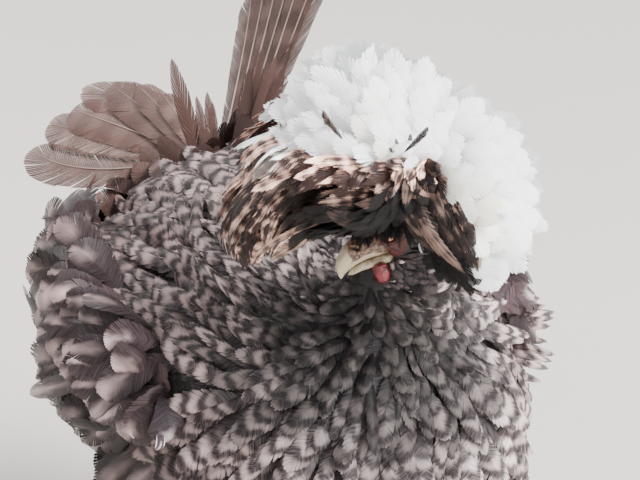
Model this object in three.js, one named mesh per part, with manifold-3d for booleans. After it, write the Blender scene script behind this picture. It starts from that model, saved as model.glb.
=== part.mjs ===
// A life-size polish crested hen that stands with fluffed plumage and preens. The head is turned to the bird's
// right, with its bill over the right shoulder, and the tail is open in two halves.
// Millimetres, +Z up. The bird faces -Y and its right side is -X. The origin is on the floor under the middle
// of the whole bird.
import * as THREE from "three";
import { mergeVertices } from "three/addons/utils/BufferGeometryUtils.js";
import Module from "manifold-3d";

const wasm = await Module();
wasm.setup();

// Driving dimensions
const CENTRE = [5, -17]; // moves the bird over the origin: x, y
const GAP = 0.35; // clearance between parted solids
const SKULL = [107, -9.5, 271.4]; // middle of the skull: ahead, right, up
const HEAD_TURN = 104; // degrees to the bird's right
const HEAD_DROP = 14.4; // degrees that the bill points down
const HEAD_TILT = 8; // degrees that the crown leans towards the bird's front
const EYE = { ahead: 9.5, side: 10.4, up: 0.4, radius: 4.4 };
const EAR = { ahead: -4, side: 12, up: -8, radius: 4, length: 5.2, thickness: 3 };
const WATTLE_SIDE = 4.4; // from the middle of the bill
const WING_INWARD = { right: 0, left: 10 }; // she leans, so the left wing lies closer to the middle
const LEG_SPREAD = 43; // from the middle of the body to each foot
const ANKLE_AHEAD = 4;
const HOCK = { ahead: -22, up: 86 };
const TOE_START = 9; // from the ankle
const FLOOR_SLAB = { side: 900, depth: 40 }; // what cuts the soles flat
const SOLE_DEPTH = 0.9; // how much of a toe's underside is worn flat
const CLAW_LENGTH = 13;
const TAIL_ROOT = [-108, 0, 210]; // where the tail quills of a half meet: ahead, right, up
const LEFT_ROOT_SHIFT = 6; // from there to the root of the left half
const TAIL_STEP = 1.9; // from one tail feather to the next that overlaps it
const HALF_TAIL = 7; // tail feathers on each side

const WELD = 1e-3; // points closer than this are one

const UP = new THREE.Vector3(0, 0, 1);

// A point given as the bird's own distances: ahead, to its right, up.
const at = (ahead, right, up) => new THREE.Vector3(-right, -ahead, up);
const AHEAD = at(1, 0, 0);

function finish(color, roughness) {
  return new THREE.MeshStandardMaterial({ color, roughness, metalness: 0 });
}

const plumageBrown = finish(0x8c7a70, 0.8);
const plumageGrey = finish(0x6d6664, 0.8);
const crestWhite = finish(0xf2f2ee, 0.75);
const crestBrown = finish(0x5e4a3e, 0.8);
const faceRed = finish(0x9c2f2c, 0.55);
const wattleRed = finish(0xb0252b, 0.5);
const earWhite = finish(0xe6dfd2, 0.6);
const billHorn = finish(0xd9ccb0, 0.4);
const clawHorn = finish(0xb9ab94, 0.4);
const shankSlate = finish(0x9a9a98, 0.55);
const eyeAmber = finish(0xb5561c, 0.1);

// A geometry of shared points and faces, turned outside out if its faces point inwards.
function closedGeometry(points, faces) {
  const geometry = new THREE.BufferGeometry();
  geometry.setAttribute("position", new THREE.Float32BufferAttribute(points, 3));
  let volume = 0;
  for (let i = 0; i < faces.length; i += 3) {
    const [a, b, c] = [0, 1, 2].map((n) => new THREE.Vector3().fromArray(points, 3 * faces[i + n]));
    volume += a.dot(b.cross(c));
  }
  if (volume < 0) faces.reverse();
  geometry.setIndex(faces);
  geometry.computeVertexNormals();
  return geometry;
}

// Rings of points between two poles. ringPoint(i, k) gives point k of ring i, from 1 to steps - 1.
function ringed(firstPole, lastPole, ringPoint, sides, steps) {
  const points = [...firstPole];
  for (let i = 1; i < steps; i++) {
    for (let k = 0; k < sides; k++) points.push(...ringPoint(i, k));
  }
  points.push(...lastPole);
  const last = points.length / 3 - 1;
  const faces = [];
  for (let k = 0; k < sides; k++) {
    const next = (k + 1) % sides;
    faces.push(0, 1 + next, 1 + k);
    faces.push(last, last - sides + k, last - sides + next);
    for (let i = 0; i < steps - 2; i++) {
      const a = 1 + i * sides;
      const b = a + sides;
      faces.push(a + k, a + next, b + next, a + k, b + next, b + k);
    }
  }
  return closedGeometry(points, faces);
}

// A closed body swept through stations of { p: centre, w: half width, h: half height }. The first and the last
// station are its poles. Half heights lie towards `up`, half widths across it.
function sweep(stations, { sides, steps, up = UP }) {
  const smooth = (points) => new THREE.CatmullRomCurve3(points, false, "catmullrom", 0.5);
  const line = smooth(stations.map((s) => s.p));
  const girth = smooth(stations.map((s) => new THREE.Vector3(s.w, s.h, 0)));
  const least = 0.4;
  const ringPoint = (i, k) => {
    const t = (1 - Math.cos((Math.PI * i) / steps)) / 2;
    const along = line.getTangent(t);
    const across = new THREE.Vector3().crossVectors(along, up).normalize();
    const rise = new THREE.Vector3().crossVectors(across, along);
    const size = girth.getPoint(t);
    const turn = (2 * Math.PI * k) / sides;
    return line
      .getPoint(t)
      .addScaledVector(across, Math.max(size.x, least) * Math.cos(turn))
      .addScaledVector(rise, Math.max(size.y, least) * Math.sin(turn));
  };
  return ringed(line.getPoint(0), line.getPoint(1), ringPoint, sides, steps);
}

// A lopsided ellipsoid about a centre, with its own half size towards each end of each axis.
function globe({ centre, x, y, z }, { sides = 18, steps = 11 } = {}) {
  const ringPoint = (i, k) => {
    const down = (Math.PI * i) / steps;
    const turn = (2 * Math.PI * k) / sides;
    const d = [Math.sin(down) * Math.cos(turn), Math.sin(down) * Math.sin(turn), Math.cos(down)];
    return [x, y, z].map((half, axis) => centre[axis] + d[axis] * half[d[axis] > 0 ? 0 : 1]);
  };
  const [top, bottom] = [centre[2] + z[0], centre[2] - z[1]];
  return ringed([centre[0], centre[1], top], [centre[0], centre[1], bottom], ringPoint, sides, steps);
}

// The same geometry, moved out along its normals.
function grown(geometry, distance = GAP) {
  const copy = geometry.clone();
  const { position, normal } = copy.attributes;
  const point = new THREE.Vector3();
  const out = new THREE.Vector3();
  for (let i = 0; i < position.count; i++) {
    point.fromBufferAttribute(position, i).addScaledVector(out.fromBufferAttribute(normal, i), distance);
    position.setXYZ(i, point.x, point.y, point.z);
  }
  return copy;
}

// The solid of a geometry, moved by a matrix if one is given.
function solid(geometry, matrix = new THREE.Matrix4()) {
  const bare = geometry.clone().applyMatrix4(matrix);
  bare.deleteAttribute("normal");
  bare.deleteAttribute("uv");
  const merged = mergeVertices(bare, WELD);
  return new wasm.Manifold(
    new wasm.Mesh({
      numProp: 3,
      vertProperties: merged.attributes.position.array,
      triVerts: new Uint32Array(merged.index.array),
    }),
  );
}

function geometryOf(made) {
  const mesh = made.getMesh();
  const geometry = new THREE.BufferGeometry();
  geometry.setAttribute("position", new THREE.BufferAttribute(mesh.vertProperties, 3));
  geometry.setIndex(new THREE.BufferAttribute(mesh.triVerts, 1));
  geometry.computeVertexNormals();
  return geometry;
}

const joined = (...geometries) => geometryOf(geometries.map((g) => solid(g)).reduce((a, b) => a.add(b)));

const bird = new THREE.Group();
bird.position.set(...CENTRE, 0);

function add(name, geometry, material, parent = bird) {
  const mesh = new THREE.Mesh(geometry, material);
  mesh.name = name;
  parent.add(mesh);
  return mesh;
}

// Where a mesh or group stands in the bird's frame.
function placeOf(object) {
  bird.updateMatrixWorld(true);
  return bird.matrixWorld.clone().invert().multiply(object.matrixWorld);
}

// The space that a placed mesh takes up with its clearance, in the bird's frame.
const spaceOf = (mesh) => solid(grown(mesh.geometry), placeOf(mesh));

// Cuts a mesh by solids in the bird's frame, and keeps the largest piece that is left.
function carve(mesh, cutters) {
  const toLocal = placeOf(mesh).invert().elements;
  let made = solid(mesh.geometry);
  for (const cutter of cutters) made = made.subtract(cutter.transform(toLocal));
  const pieces = made.decompose();
  if (!pieces.length) throw new Error(`nothing is left of ${mesh.name}`);
  mesh.geometry = geometryOf(pieces.reduce((a, b) => (b.volume() > a.volume() ? b : a)));
  return mesh;
}

// Trunk: ahead, up, half width, half height, from the breast to the rump
const TRUNK_RIGHT = 4;
const TRUNK = [
  [144, 146, 0, 0],
  [130, 147, 50, 52],
  [104, 151, 79, 80],
  [60, 158, 92, 95],
  [12, 163, 91, 97],
  [-38, 165, 84, 87],
  [-80, 168, 68, 69],
  [-112, 173, 49, 48],
  [-136, 180, 30, 29],
  [-150, 186, 0, 0],
];
const trunkStations = TRUNK.map(([ahead, up, w, h]) => ({ p: at(ahead, TRUNK_RIGHT, up), w, h }));
const trunk = add("trunk", sweep(trunkStations, { sides: 24, steps: 17 }), plumageGrey);
const trunkSpace = spaceOf(trunk);

// Head: its own frame has the bill along +X, the head's left along +Y and its crown along +Z.
const head = new THREE.Group();
const headAngles = [HEAD_TILT, HEAD_DROP, -90 - HEAD_TURN].map(THREE.MathUtils.degToRad);
head.position.copy(at(...SKULL));
head.rotation.set(...headAngles, "ZYX");
bird.add(head);

// Stations in the head's frame: ahead, up, half width, half height
const inHead = (rows) => rows.map(([x, z, w, h]) => ({ p: new THREE.Vector3(x, 0, z), w, h }));

// Bill: two halves that meet along the mouth line, the upper one hooked at its tip
const UPPER_BILL = [
  [6, -4.5, 0, 0],
  [11, -5, 6.2, 5.8],
  [18, -5, 5.9, 5.7],
  [24.5, -6.4, 4.9, 5.2],
  [29.5, -9.4, 3.5, 4],
  [32.2, -12.8, 1.9, 2.4],
  [33.2, -16.6, 0, 0],
];
const LOWER_BILL = [
  [8, -12, 0, 0],
  [12, -12.4, 4.9, 2.6],
  [18, -12.6, 4.3, 2.5],
  [24, -13.4, 3.2, 2.1],
  [28, -14.8, 2, 1.4],
  [30.2, -15.8, 0, 0],
];
const upperBill = add("bill_upper", sweep(inHead(UPPER_BILL), { sides: 10, steps: 11 }), billHorn, head);
const lowerBill = add("bill_lower", sweep(inHead(LOWER_BILL), { sides: 8, steps: 7 }), billHorn, head);
const billSpace = [upperBill, lowerBill].map(spaceOf);
carve(lowerBill, [billSpace[0]]);

const eyes = ["left", "right"].map((label, i) => {
  const eye = add("eye_" + label, new THREE.SphereGeometry(EYE.radius, 10, 7), eyeAmber, head);
  eye.position.set(EYE.ahead, i ? -EYE.side : EYE.side, EYE.up);
  return eye;
});
const eyeSpace = eyes.map(spaceOf);

// Skull, with the bare red face
const SKULL_STATIONS = [
  [-22, 1, 0, 0],
  [-17, 0, 11, 12],
  [-5, 0, 14.5, 16],
  [7, -2, 12.5, 14],
  [14, -4.6, 9, 10.5],
  [19, -6.4, 0, 0],
];
const skull = add("head", sweep(inHead(SKULL_STATIONS), { sides: 12, steps: 9 }), faceRed, head);
const skullSpace = spaceOf(skull);
carve(skull, [...billSpace, ...eyeSpace]);

// Ear lobes: small flat white discs behind and below the eyes
const ears = ["left", "right"].map((label, i) => {
  const disc = globe(
    {
      centre: [0, 0, 0],
      x: [EAR.radius, EAR.radius],
      y: [EAR.thickness, EAR.thickness],
      z: [EAR.radius, EAR.length],
    },
    { sides: 8, steps: 6 },
  );
  const ear = add("earlobe_" + label, disc, earWhite, head);
  ear.position.set(EAR.ahead, i ? -EAR.side : EAR.side, EAR.up);
  return ear;
});
const earSpace = ears.map(spaceOf);
for (const ear of ears) carve(ear, [skullSpace, ...eyeSpace]);

// Wattles: two small round lobes under the gape
const WATTLE = [
  [15.8, -12, 0, 0],
  [16, -13.6, 1.9, 2.6],
  [16.3, -17, 2.4, 3.8],
  [16.5, -20.6, 1.6, 2.6],
  [16.6, -22.2, 0, 0],
];
const wattles = ["left", "right"].map((label, i) => {
  const lobe = sweep(inHead(WATTLE), { sides: 8, steps: 6, up: new THREE.Vector3(1, 0, 0) });
  const wattle = add("wattle_" + label, lobe, wattleRed, head);
  wattle.position.y = i ? -WATTLE_SIDE : WATTLE_SIDE;
  return wattle;
});
const wattleSpace = wattles.map(spaceOf);
for (const wattle of wattles) carve(wattle, [...billSpace, skullSpace, trunkSpace]);
const faceSpace = [skullSpace, ...billSpace, ...eyeSpace, ...earSpace, ...wattleSpace];

// Neck: drawn in, its hackle a thick collar that closes round the back of the skull.
// Ahead, right, up, half width, half depth
const NECK = [
  [52, 0, 186, 0, 0],
  [66, -2, 200, 60, 52],
  [84, -8, 219, 45, 43],
  [96, -18, 235, 30, 32],
  [103, -27, 250, 20, 22],
  [106, -30, 264, 0, 0],
];
const neckStations = NECK.map(([ahead, right, up, w, h]) => ({ p: at(ahead, right, up), w, h }));
const neck = add("neck", sweep(neckStations, { sides: 18, steps: 9, up: AHEAD }), plumageGrey);
const neckSpace = spaceOf(neck);
carve(neck, [trunkSpace, ...faceSpace]);

// Crest: a globe of feathers round the crown with a fuller nape, and a brown fringe that arches before the bill
const CROWN = { centre: [14, -2, 30], x: [50, 50], y: [60, 60], z: [46, 25] };
const NAPE = { centre: [-20, -2, 3], x: [20, 36], y: [52, 50], z: [47, 38] };
const FRINGE = [
  [22, 30, 0, 0],
  [36, 36, 40, 13],
  [49, 34, 43, 13],
  [58, 24, 39, 12],
  [64, 11, 32, 11],
  [68, -3, 0, 0],
];
const crown = add("crest_crown", joined(globe(CROWN), globe(NAPE)), crestWhite, head);
const fringeUp = new THREE.Vector3(1, 0, 1);
const crownSpace = spaceOf(crown);
carve(crown, [trunkSpace, neckSpace, ...faceSpace]);
const fringe = add("crest_fringe", sweep(inHead(FRINGE), { sides: 18, steps: 11, up: fringeUp }), crestBrown, head);
carve(fringe, [crownSpace, trunkSpace, neckSpace, ...faceSpace]);

// Wings: folded on the trunk, the flight feathers a thin bundle that runs out to the tail.
// Ahead, right, up, half thickness, half height
const WING = [
  [88, 62, 190, 0, 0],
  [72, 72, 188, 20, 26],
  [38, 82, 182, 27, 42],
  [-6, 83, 178, 28, 48],
  [-50, 77, 182, 28, 44],
  [-84, 64, 190, 22, 32],
  [-106, 56, 196, 0, 0],
];
const FLIGHT = [
  [-60, 78, 170, 0, 0],
  [-76, 76, 172, 10, 26],
  [-104, 66, 178, 8, 24],
  [-132, 52, 186, 5, 16],
  [-152, 42, 192, 3, 7],
  [-162, 38, 194, 0, 0],
];
const foldedSpace = [trunkSpace];
for (const [label, side] of Object.entries({ right: 1, left: -1 })) {
  const place = ([a, r, u, w, h]) => ({ p: at(a, side * (r - WING_INWARD[label]), u), w, h });
  const stations = (rows) => rows.map(place);
  const wing = add("wing_" + label, sweep(stations(WING), { sides: 16, steps: 11 }), plumageBrown);
  const wingSpace = spaceOf(wing);
  carve(wing, [trunkSpace, neckSpace, crownSpace]);
  const flight = add("flight_" + label, sweep(stations(FLIGHT), { sides: 10, steps: 9 }), plumageBrown);
  foldedSpace.push(wingSpace, spaceOf(flight));
  carve(flight, [trunkSpace, wingSpace]);
}

// A stiff feather along +X from its quill, its width along Y: a thin blade with a round tip that bends down
// towards its tip.
function blade({ length, width, curl, thickness = 1.2, steps = 7, across = 1 }) {
  const shoulder = 0.62; // where the vane is widest
  const quill = 0.22; // share of the width at the root
  const lastRow = 0.97; // how near the tip the last row of points lies
  const outline = (t) =>
    t < shoulder
      ? quill + (1 - quill) * THREE.MathUtils.smoothstep(t, 0, shoulder)
      : Math.sqrt(1 - ((t - shoulder) / (1 - shoulder)) ** 2);
  const points = [];
  for (const face of [0.5, -0.5]) {
    for (let i = 0; i <= steps; i++) {
      const t = Math.sin((Math.PI / 2) * lastRow * (i / steps));
      const x = t * length;
      for (let k = 0; k <= across; k++) {
        points.push(x, ((2 * k) / across - 1) * outline(t) * (width / 2), face * thickness - curl * x * x);
      }
    }
  }
  const row = across + 1;
  const under = row * (steps + 1);
  const faces = [];
  const quad = (a, b, c, d) => faces.push(a, b, c, a, c, d);
  for (let i = 0; i < steps; i++) {
    for (let k = 0; k < across; k++) {
      const a = i * row + k;
      quad(a, a + row, a + row + 1, a + 1);
      quad(under + a, under + a + 1, under + a + row + 1, under + a + row);
    }
    const left = i * row;
    const right = left + across;
    quad(left, under + left, under + left + row, left + row);
    quad(right, right + row, under + right + row, under + right);
  }
  for (let k = 0; k < across; k++) {
    const tip = steps * row + k;
    quad(k, k + 1, under + k + 1, under + k);
    quad(tip, under + tip, under + tip + 1, tip + 1);
  }
  return closedGeometry(points, faces);
}

// Tail: each half is a fan whose feathers lie one over the other. The first and last feather point back, right
// and up by the given shares, and the fan shows the side that face points to.
const TAIL_HALVES = {
  right: {
    first: [0.72, 0.66, -0.02],
    last: [0.95, 0.1, 0.3],
    face: [0, 0.3, 0.9],
    lengths: [99, 96, 87, 90, 77, 62, 46],
    widths: [24, 24, 24, 23, 22, 16, 12],
    curl: 0.0006,
  },
  left: {
    first: [0.77, -0.48, 0.46],
    last: [0.18, -0.51, 0.84],
    face: [-0.1, -0.85, -0.5],
    lengths: [112, 122, 132, 140, 144, 142, 134],
    widths: [21, 21, 21, 21, 20, 20, 20],
    curl: 0.0004,
  },
};
const laid = [];
for (const [label, half] of Object.entries(TAIL_HALVES)) {
  const direction = ([back, right, up]) => at(-back, right, up).normalize();
  const [first, last] = [direction(half.first), direction(half.last)];
  const root = at(...TAIL_ROOT).add(at(0, label === "left" ? -LEFT_ROOT_SHIFT : 0, 0));
  const fanNormal = new THREE.Vector3().crossVectors(first, last).normalize();
  if (fanNormal.dot(direction(half.face)) < 0) fanNormal.negate();
  for (let i = 0; i < HALF_TAIL; i++) {
    const along = first.clone().lerp(last, i / (HALF_TAIL - 1)).normalize();
    const across = new THREE.Vector3().crossVectors(fanNormal, along);
    const shape = blade({ length: half.lengths[i], width: half.widths[i], curl: half.curl });
    const feather = add(`rectrix_${label}_${i + 1}`, shape, plumageBrown);
    feather.quaternion.setFromRotationMatrix(new THREE.Matrix4().makeBasis(along, across, fanNormal));
    feather.position.copy(root).addScaledVector(fanNormal, i * TAIL_STEP);
    const featherSpace = spaceOf(feather);
    carve(feather, [...foldedSpace, ...laid]);
    laid.push(featherSpace);
  }
}

// Legs: a feathered drumstick, a bare shank, three toes ahead and one behind, each with its claw. The soles are
// flat and lie on the floor. In a foot's frame +X is ahead and +Y is to the bird's left.
const slab = new THREE.BoxGeometry(FLOOR_SLAB.side, FLOOR_SLAB.side, FLOOR_SLAB.depth);
const floorSpace = solid(slab.translate(0, 0, -FLOOR_SLAB.depth / 2));
const hockBack = HOCK.ahead - ANKLE_AHEAD;
const SHANK = [
  [1, 2.5, 0, 0],
  [1, 5, 8.5, 8],
  [-1, 11, 7, 7],
  [-6, 24, 5, 5.8],
  [hockBack * 0.62, 54, 5, 6],
  [hockBack * 0.9, 78, 6.6, 7.4],
  [hockBack, HOCK.up, 7, 7],
  [hockBack - 1, HOCK.up + 8, 0, 0],
];
const DRUMSTICK = [
  [6, 46, 132, 0, 0],
  [2, 46, 122, 34, 38],
  [-6, 45, 104, 27, 31],
  [-14, 44, 84, 17, 20],
  [-18, LEG_SPREAD, 70, 9, 10],
  [-18, LEG_SPREAD, 64, 0, 0],
];
const TOES = {
  middle: { angle: 2, length: 58, girth: 5.4 },
  inner: { angle: 34, length: 44, girth: 5 },
  outer: { angle: -34, length: 46, girth: 5 },
  hind: { angle: 168, length: 24, girth: 4.6 },
};

function toeShape(length, girth) {
  const rise = (share) => girth * share - SOLE_DEPTH;
  const middle = TOE_START + (length - TOE_START) * 0.5;
  return sweep(
    inHead([
      [TOE_START - 6, rise(1) + 1, 0, 0],
      [TOE_START, rise(0.95), girth, girth * 0.95],
      [middle, rise(0.82), girth * 0.86, girth * 0.82],
      [length - 3, rise(0.7), girth * 0.76, girth * 0.7],
      [length, rise(0.66), 0, 0],
    ]),
    { sides: 8, steps: 6 },
  );
}

const clawShape = (length) =>
  sweep(
    inHead([
      [length - 5, 3.4, 0, 0],
      [length - 2, 3.6, 1.9, 2.2],
      [length + CLAW_LENGTH * 0.4, 3.2, 1.5, 1.8],
      [length + CLAW_LENGTH * 0.85, 1.4, 0.8, 0.9],
      [length + CLAW_LENGTH, 0.5, 0, 0],
    ]),
    { sides: 6, steps: 5 },
  );

for (const [label, side] of Object.entries({ right: 1, left: -1 })) {
  const foot = new THREE.Group();
  foot.position.copy(at(ANKLE_AHEAD, side * LEG_SPREAD, 0));
  foot.rotation.z = -Math.PI / 2;
  bird.add(foot);
  const shankShape = sweep(inHead(SHANK), { sides: 10, steps: 11, up: new THREE.Vector3(1, 0, 0) });
  const shank = add("shank_" + label, shankShape, shankSlate, foot);
  const shankSpace = spaceOf(shank);
  carve(shank, [trunkSpace, floorSpace]);
  const stations = DRUMSTICK.map(([a, r, u, w, h]) => ({ p: at(a, side * r, u), w, h }));
  const drumstick = add("drumstick_" + label, sweep(stations, { sides: 14, steps: 8, up: AHEAD }), plumageGrey);
  carve(drumstick, [trunkSpace, shankSpace]);

  const taken = [shankSpace, floorSpace];
  for (const [name, { angle, length, girth }] of Object.entries(TOES)) {
    const ray = new THREE.Group();
    ray.rotation.z = THREE.MathUtils.degToRad(side * angle);
    foot.add(ray);
    const toe = add(`toe_${name}_${label}`, toeShape(length, girth), shankSlate, ray);
    const toeSpace = spaceOf(toe);
    carve(toe, taken);
    carve(add(`claw_${name}_${label}`, clawShape(length), clawHorn, ray), [toeSpace, floorSpace]);
    taken.push(toeSpace);
  }
}

export default bird;
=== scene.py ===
import math

import bmesh
import bpy
import numpy as np
from mathutils import Euler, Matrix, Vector
from mathutils.bvhtree import BVHTree


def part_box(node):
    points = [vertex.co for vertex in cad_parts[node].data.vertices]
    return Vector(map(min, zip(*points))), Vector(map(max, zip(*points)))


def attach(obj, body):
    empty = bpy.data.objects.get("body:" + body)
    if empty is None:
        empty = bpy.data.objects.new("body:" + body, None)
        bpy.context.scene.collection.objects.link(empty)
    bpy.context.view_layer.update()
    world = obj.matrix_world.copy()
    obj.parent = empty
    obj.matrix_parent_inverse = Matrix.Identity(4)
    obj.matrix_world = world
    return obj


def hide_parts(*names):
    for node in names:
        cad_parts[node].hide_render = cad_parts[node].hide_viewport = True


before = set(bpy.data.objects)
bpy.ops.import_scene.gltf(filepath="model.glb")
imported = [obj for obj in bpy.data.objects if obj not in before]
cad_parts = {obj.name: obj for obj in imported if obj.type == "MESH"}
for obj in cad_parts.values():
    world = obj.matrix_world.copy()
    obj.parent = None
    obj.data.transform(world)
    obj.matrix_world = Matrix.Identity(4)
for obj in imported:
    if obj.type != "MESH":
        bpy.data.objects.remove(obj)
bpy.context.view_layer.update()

# The view. She was photographed with a long lens from her front right and a little above, at 640 by 480, and
# the tip of her tail and her feet are outside the frame.
VIEW_AZIMUTH = math.radians(-22)
VIEW_ELEVATION = math.radians(25)
VIEW_DISTANCE = 1.36
VIEW_AIM = Vector((0.0244, -0.0031, 0.2083))
VIEW_WIDTH, VIEW_HEIGHT = 640, 480
LENS_MM, SENSOR_MM = 168.3, 36.0


def added(name, data):
    """A new object in the scene."""
    made = bpy.data.objects.new(name, data)
    bpy.context.scene.collection.objects.link(made)
    return made


towards_camera = Vector((
    math.sin(VIEW_AZIMUTH) * math.cos(VIEW_ELEVATION),
    -math.cos(VIEW_AZIMUTH) * math.cos(VIEW_ELEVATION),
    math.sin(VIEW_ELEVATION),
))
camera = added("camera", bpy.data.cameras.new("camera"))
camera.data.lens = LENS_MM
camera.data.sensor_width = SENSOR_MM
camera.location = VIEW_AIM + VIEW_DISTANCE * towards_camera
camera.rotation_euler = towards_camera.to_track_quat("Z", "Y").to_euler()
bpy.context.scene.camera = camera


# The studio: a plain pale floor, a large soft lamp high on the right, weaker ones in front and on the left,
# and one behind.
FLOOR_SIDE = 6.0
LAMPS = {
    "lamp_key": {"at": (0.9, -0.9, 1.9), "side": 0.9, "watts": 114},
    "lamp_front": {"at": (0.8, -1.7, 0.45), "side": 0.9, "watts": 38},
    "lamp_fill": {"at": (-1.5, -1.3, 0.9), "side": 1.6, "watts": 18},
    "lamp_back": {"at": (-0.5, 1.5, 1.6), "side": 1.0, "watts": 36},
}
LAMP_AIM = Vector((0.005, -0.03, 0.2))
WORLD_STRENGTH = 0.76


def feed(socket, value):
    """Links an input to a socket, or sets its value."""
    if isinstance(value, bpy.types.NodeSocket):
        socket.id_data.links.new(value, socket)
    else:
        socket.default_value = value


def node(tree, kind, inputs=None, **settings):
    """Adds a node with its settings and its inputs."""
    made = tree.nodes.new(kind)
    for key, value in settings.items():
        setattr(made, key, value)
    for key, value in (inputs or {}).items():
        feed(made.inputs[key], value)
    return made


def shaded(name, roughness, **plain):
    """A material with its tree and its Principled node. Plain values stay on the shader's own sockets."""
    material = bpy.data.materials.new(name)
    material.use_nodes = True
    tree = material.node_tree
    shader = tree.nodes["Principled BSDF"]
    shader.inputs["Roughness"].default_value = roughness
    for key, value in plain.items():
        shader.inputs[key.replace("_", " ")].default_value = value
    return material, tree, shader


def tree_of(*values):
    """The node tree that the sockets among these values belong to."""
    return next(value.id_data for value in values if isinstance(value, bpy.types.NodeSocket))


def blended(factor, first, second, how="MIX"):
    """The colour between two colours."""
    made = node(tree_of(factor, first, second), "ShaderNodeMix", {0: factor, 6: first, 7: second},
                data_type="RGBA", blend_type=how)
    return made.outputs[2]


def own_place(tree):
    """Coordinates in the piece itself."""
    return node(tree, "ShaderNodeTexCoord").outputs["Object"]


def noise(vector, scale, detail=2.0):
    inputs = {"Vector": vector, "Scale": scale, "Detail": detail}
    return node(vector.id_data, "ShaderNodeTexNoise", inputs).outputs["Fac"]


def colour(red, green, blue):
    """A colour given as it looks on a screen, 0 to 255."""
    channels = [c / 255 for c in (red, green, blue)]
    return (*[c / 12.92 if c <= 0.04045 else ((c + 0.055) / 1.055) ** 2.4 for c in channels], 1.0)


half = FLOOR_SIDE / 2
floor_mesh = bpy.data.meshes.new("studio_floor")
floor_corners = [(-half, -half, 0), (half, -half, 0), (half, half, 0), (-half, half, 0)]
floor_mesh.from_pydata(floor_corners, [], [(0, 1, 2, 3)])
floor = added("studio_floor", floor_mesh)
floor_material, tree, shader = shaded("studio_floor", 0.7)
speckle = noise(own_place(tree), 3.0)
feed(shader.inputs["Base Color"], blended(speckle, colour(214, 208, 200), colour(222, 217, 210)))
floor_mesh.materials.append(floor_material)

for name, lamp in LAMPS.items():
    light = bpy.data.lights.new(name, "AREA")
    light.shape = "SQUARE"
    light.size = lamp["side"]
    light.energy = lamp["watts"]
    holder = added(name, light)
    holder.location = lamp["at"]
    holder.rotation_euler = (Vector(lamp["at"]) - LAMP_AIM).to_track_quat("Z", "Y").to_euler()
world = bpy.data.worlds.new("studio")
world.use_nodes = True
background = world.node_tree.nodes["Background"]
background.inputs["Color"].default_value = colour(226, 228, 232)
background.inputs["Strength"].default_value = WORLD_STRENGTH
bpy.context.scene.world = world


# The skin: one sheet over trunk, neck, head, wings and thighs, with the bony knob that the crest grows from.
# It is drawn from the outline of the whole bird and sunk below it by the depth of the plumage. The face is
# bare and red, darkened with painted shade from the crest.
FLESH = ("trunk", "neck", "head", "wing_right", "wing_left", "drumstick_right", "drumstick_left")
SKIN_GRAIN = 0.0024  # size of the faces
COAT_DEPTH = 0.0135  # from the feather tips to the skin
SINK_STEPS = 9
BARE_RADIUS, COVERED_RADIUS = 0.018, 0.050  # from the skull's middle: where the plumage starts and is full
THIGH_END = (0.084, 0.104)  # heights between which the plumage gets thinner
THIGH_THINNING = 0.68  # the share of the depth that is missing at the lower one
KNOB_PLACE, KNOB_SIZE = (-0.004, 0, 0.011), (0.0145, 0.0115, 0.0105)

HEAD_TURN, HEAD_DROP, HEAD_TILT = 104, 14.4, 8  # degrees: to her right, bill downwards, crown sideways
EYE_IN_HEAD = Vector((0.0095, 0.0104, 0.0004))


def smooth(value, low, high):
    """0 below low, 1 above high, and smooth between them, for numbers or arrays."""
    share = np.clip((value - low) / (high - low), 0, 1)
    return share * share * (3 - 2 * share)


def unit(vectors):
    return vectors / np.maximum(np.linalg.norm(vectors, axis=-1, keepdims=True), 1e-12)


def far_from(points, spot):
    """How far each point is from a spot."""
    return np.linalg.norm(points - spot, axis=1)


def read(collection, field, width, kind=np.float32):
    """All values of a field of a mesh's points, edges or triangles."""
    found = np.empty(len(collection) * width, kind)
    collection.foreach_get(field, found)
    return found.reshape(-1, width)


def points_of(mesh):
    return read(mesh.vertices, "co", 3).astype(float)


def normals_of(mesh):
    return read(mesh.vertex_normals, "vector", 3).astype(float)


def triangles_of(mesh):
    mesh.calc_loop_triangles()
    return read(mesh.loop_triangles, "vertices", 3, np.int32)


def edges_of(mesh):
    return read(mesh.edges, "vertices", 2, np.int32)


def place(mesh, points):
    mesh.vertices.foreach_set("co", points.astype(np.float32).ravel())
    mesh.update()


def smooth_shaded(mesh):
    mesh.polygons.foreach_set("use_smooth", np.ones(len(mesh.polygons), bool))


def relaxed(points, edges, times, share=0.5):
    """Points moved a share of the way to the middle of their neighbours, several times."""
    count = np.bincount(edges.ravel(), minlength=len(points))[:, None]
    for _ in range(times):
        total = np.zeros_like(points)
        np.add.at(total, edges[:, 0], points[edges[:, 1]])
        np.add.at(total, edges[:, 1], points[edges[:, 0]])
        points = points + share * (total / np.maximum(count, 1) - points)
    return points


def shell_of(name, nodes, grain, smoothings, extra=None):
    """One closed, smoothed sheet round several nodes, as a new object."""
    gathered = bmesh.new()
    for node_name in nodes:
        gathered.from_mesh(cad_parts[node_name].data)
    if extra:
        gathered.from_mesh(extra)
    mesh = bpy.data.meshes.new(name)
    gathered.to_mesh(mesh)
    gathered.free()
    rough = added(name, mesh)
    remesh = rough.modifiers.new("remesh", "REMESH")
    remesh.mode = "VOXEL"
    remesh.voxel_size = grain
    evaluated = rough.evaluated_get(bpy.context.evaluated_depsgraph_get())
    made = added(name, bpy.data.meshes.new_from_object(evaluated))
    bpy.data.objects.remove(rough)
    made.data.name = made.name = name
    place(made.data, relaxed(points_of(made.data), edges_of(made.data), smoothings))
    smooth_shaded(made.data)
    return made


def finished(piece, slot, *replaced, material=None):
    """Gives a piece its material, fixes it to the bird, and hides the nodes it stands in for. Its slot is not
    used.
    """
    if material:
        piece.data.materials.append(material)
    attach(piece, "root")
    if replaced:
        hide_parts(*replaced)


def middle_of(node_name):
    low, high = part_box(node_name)
    return (Vector(low) + Vector(high)) / 2


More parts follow.
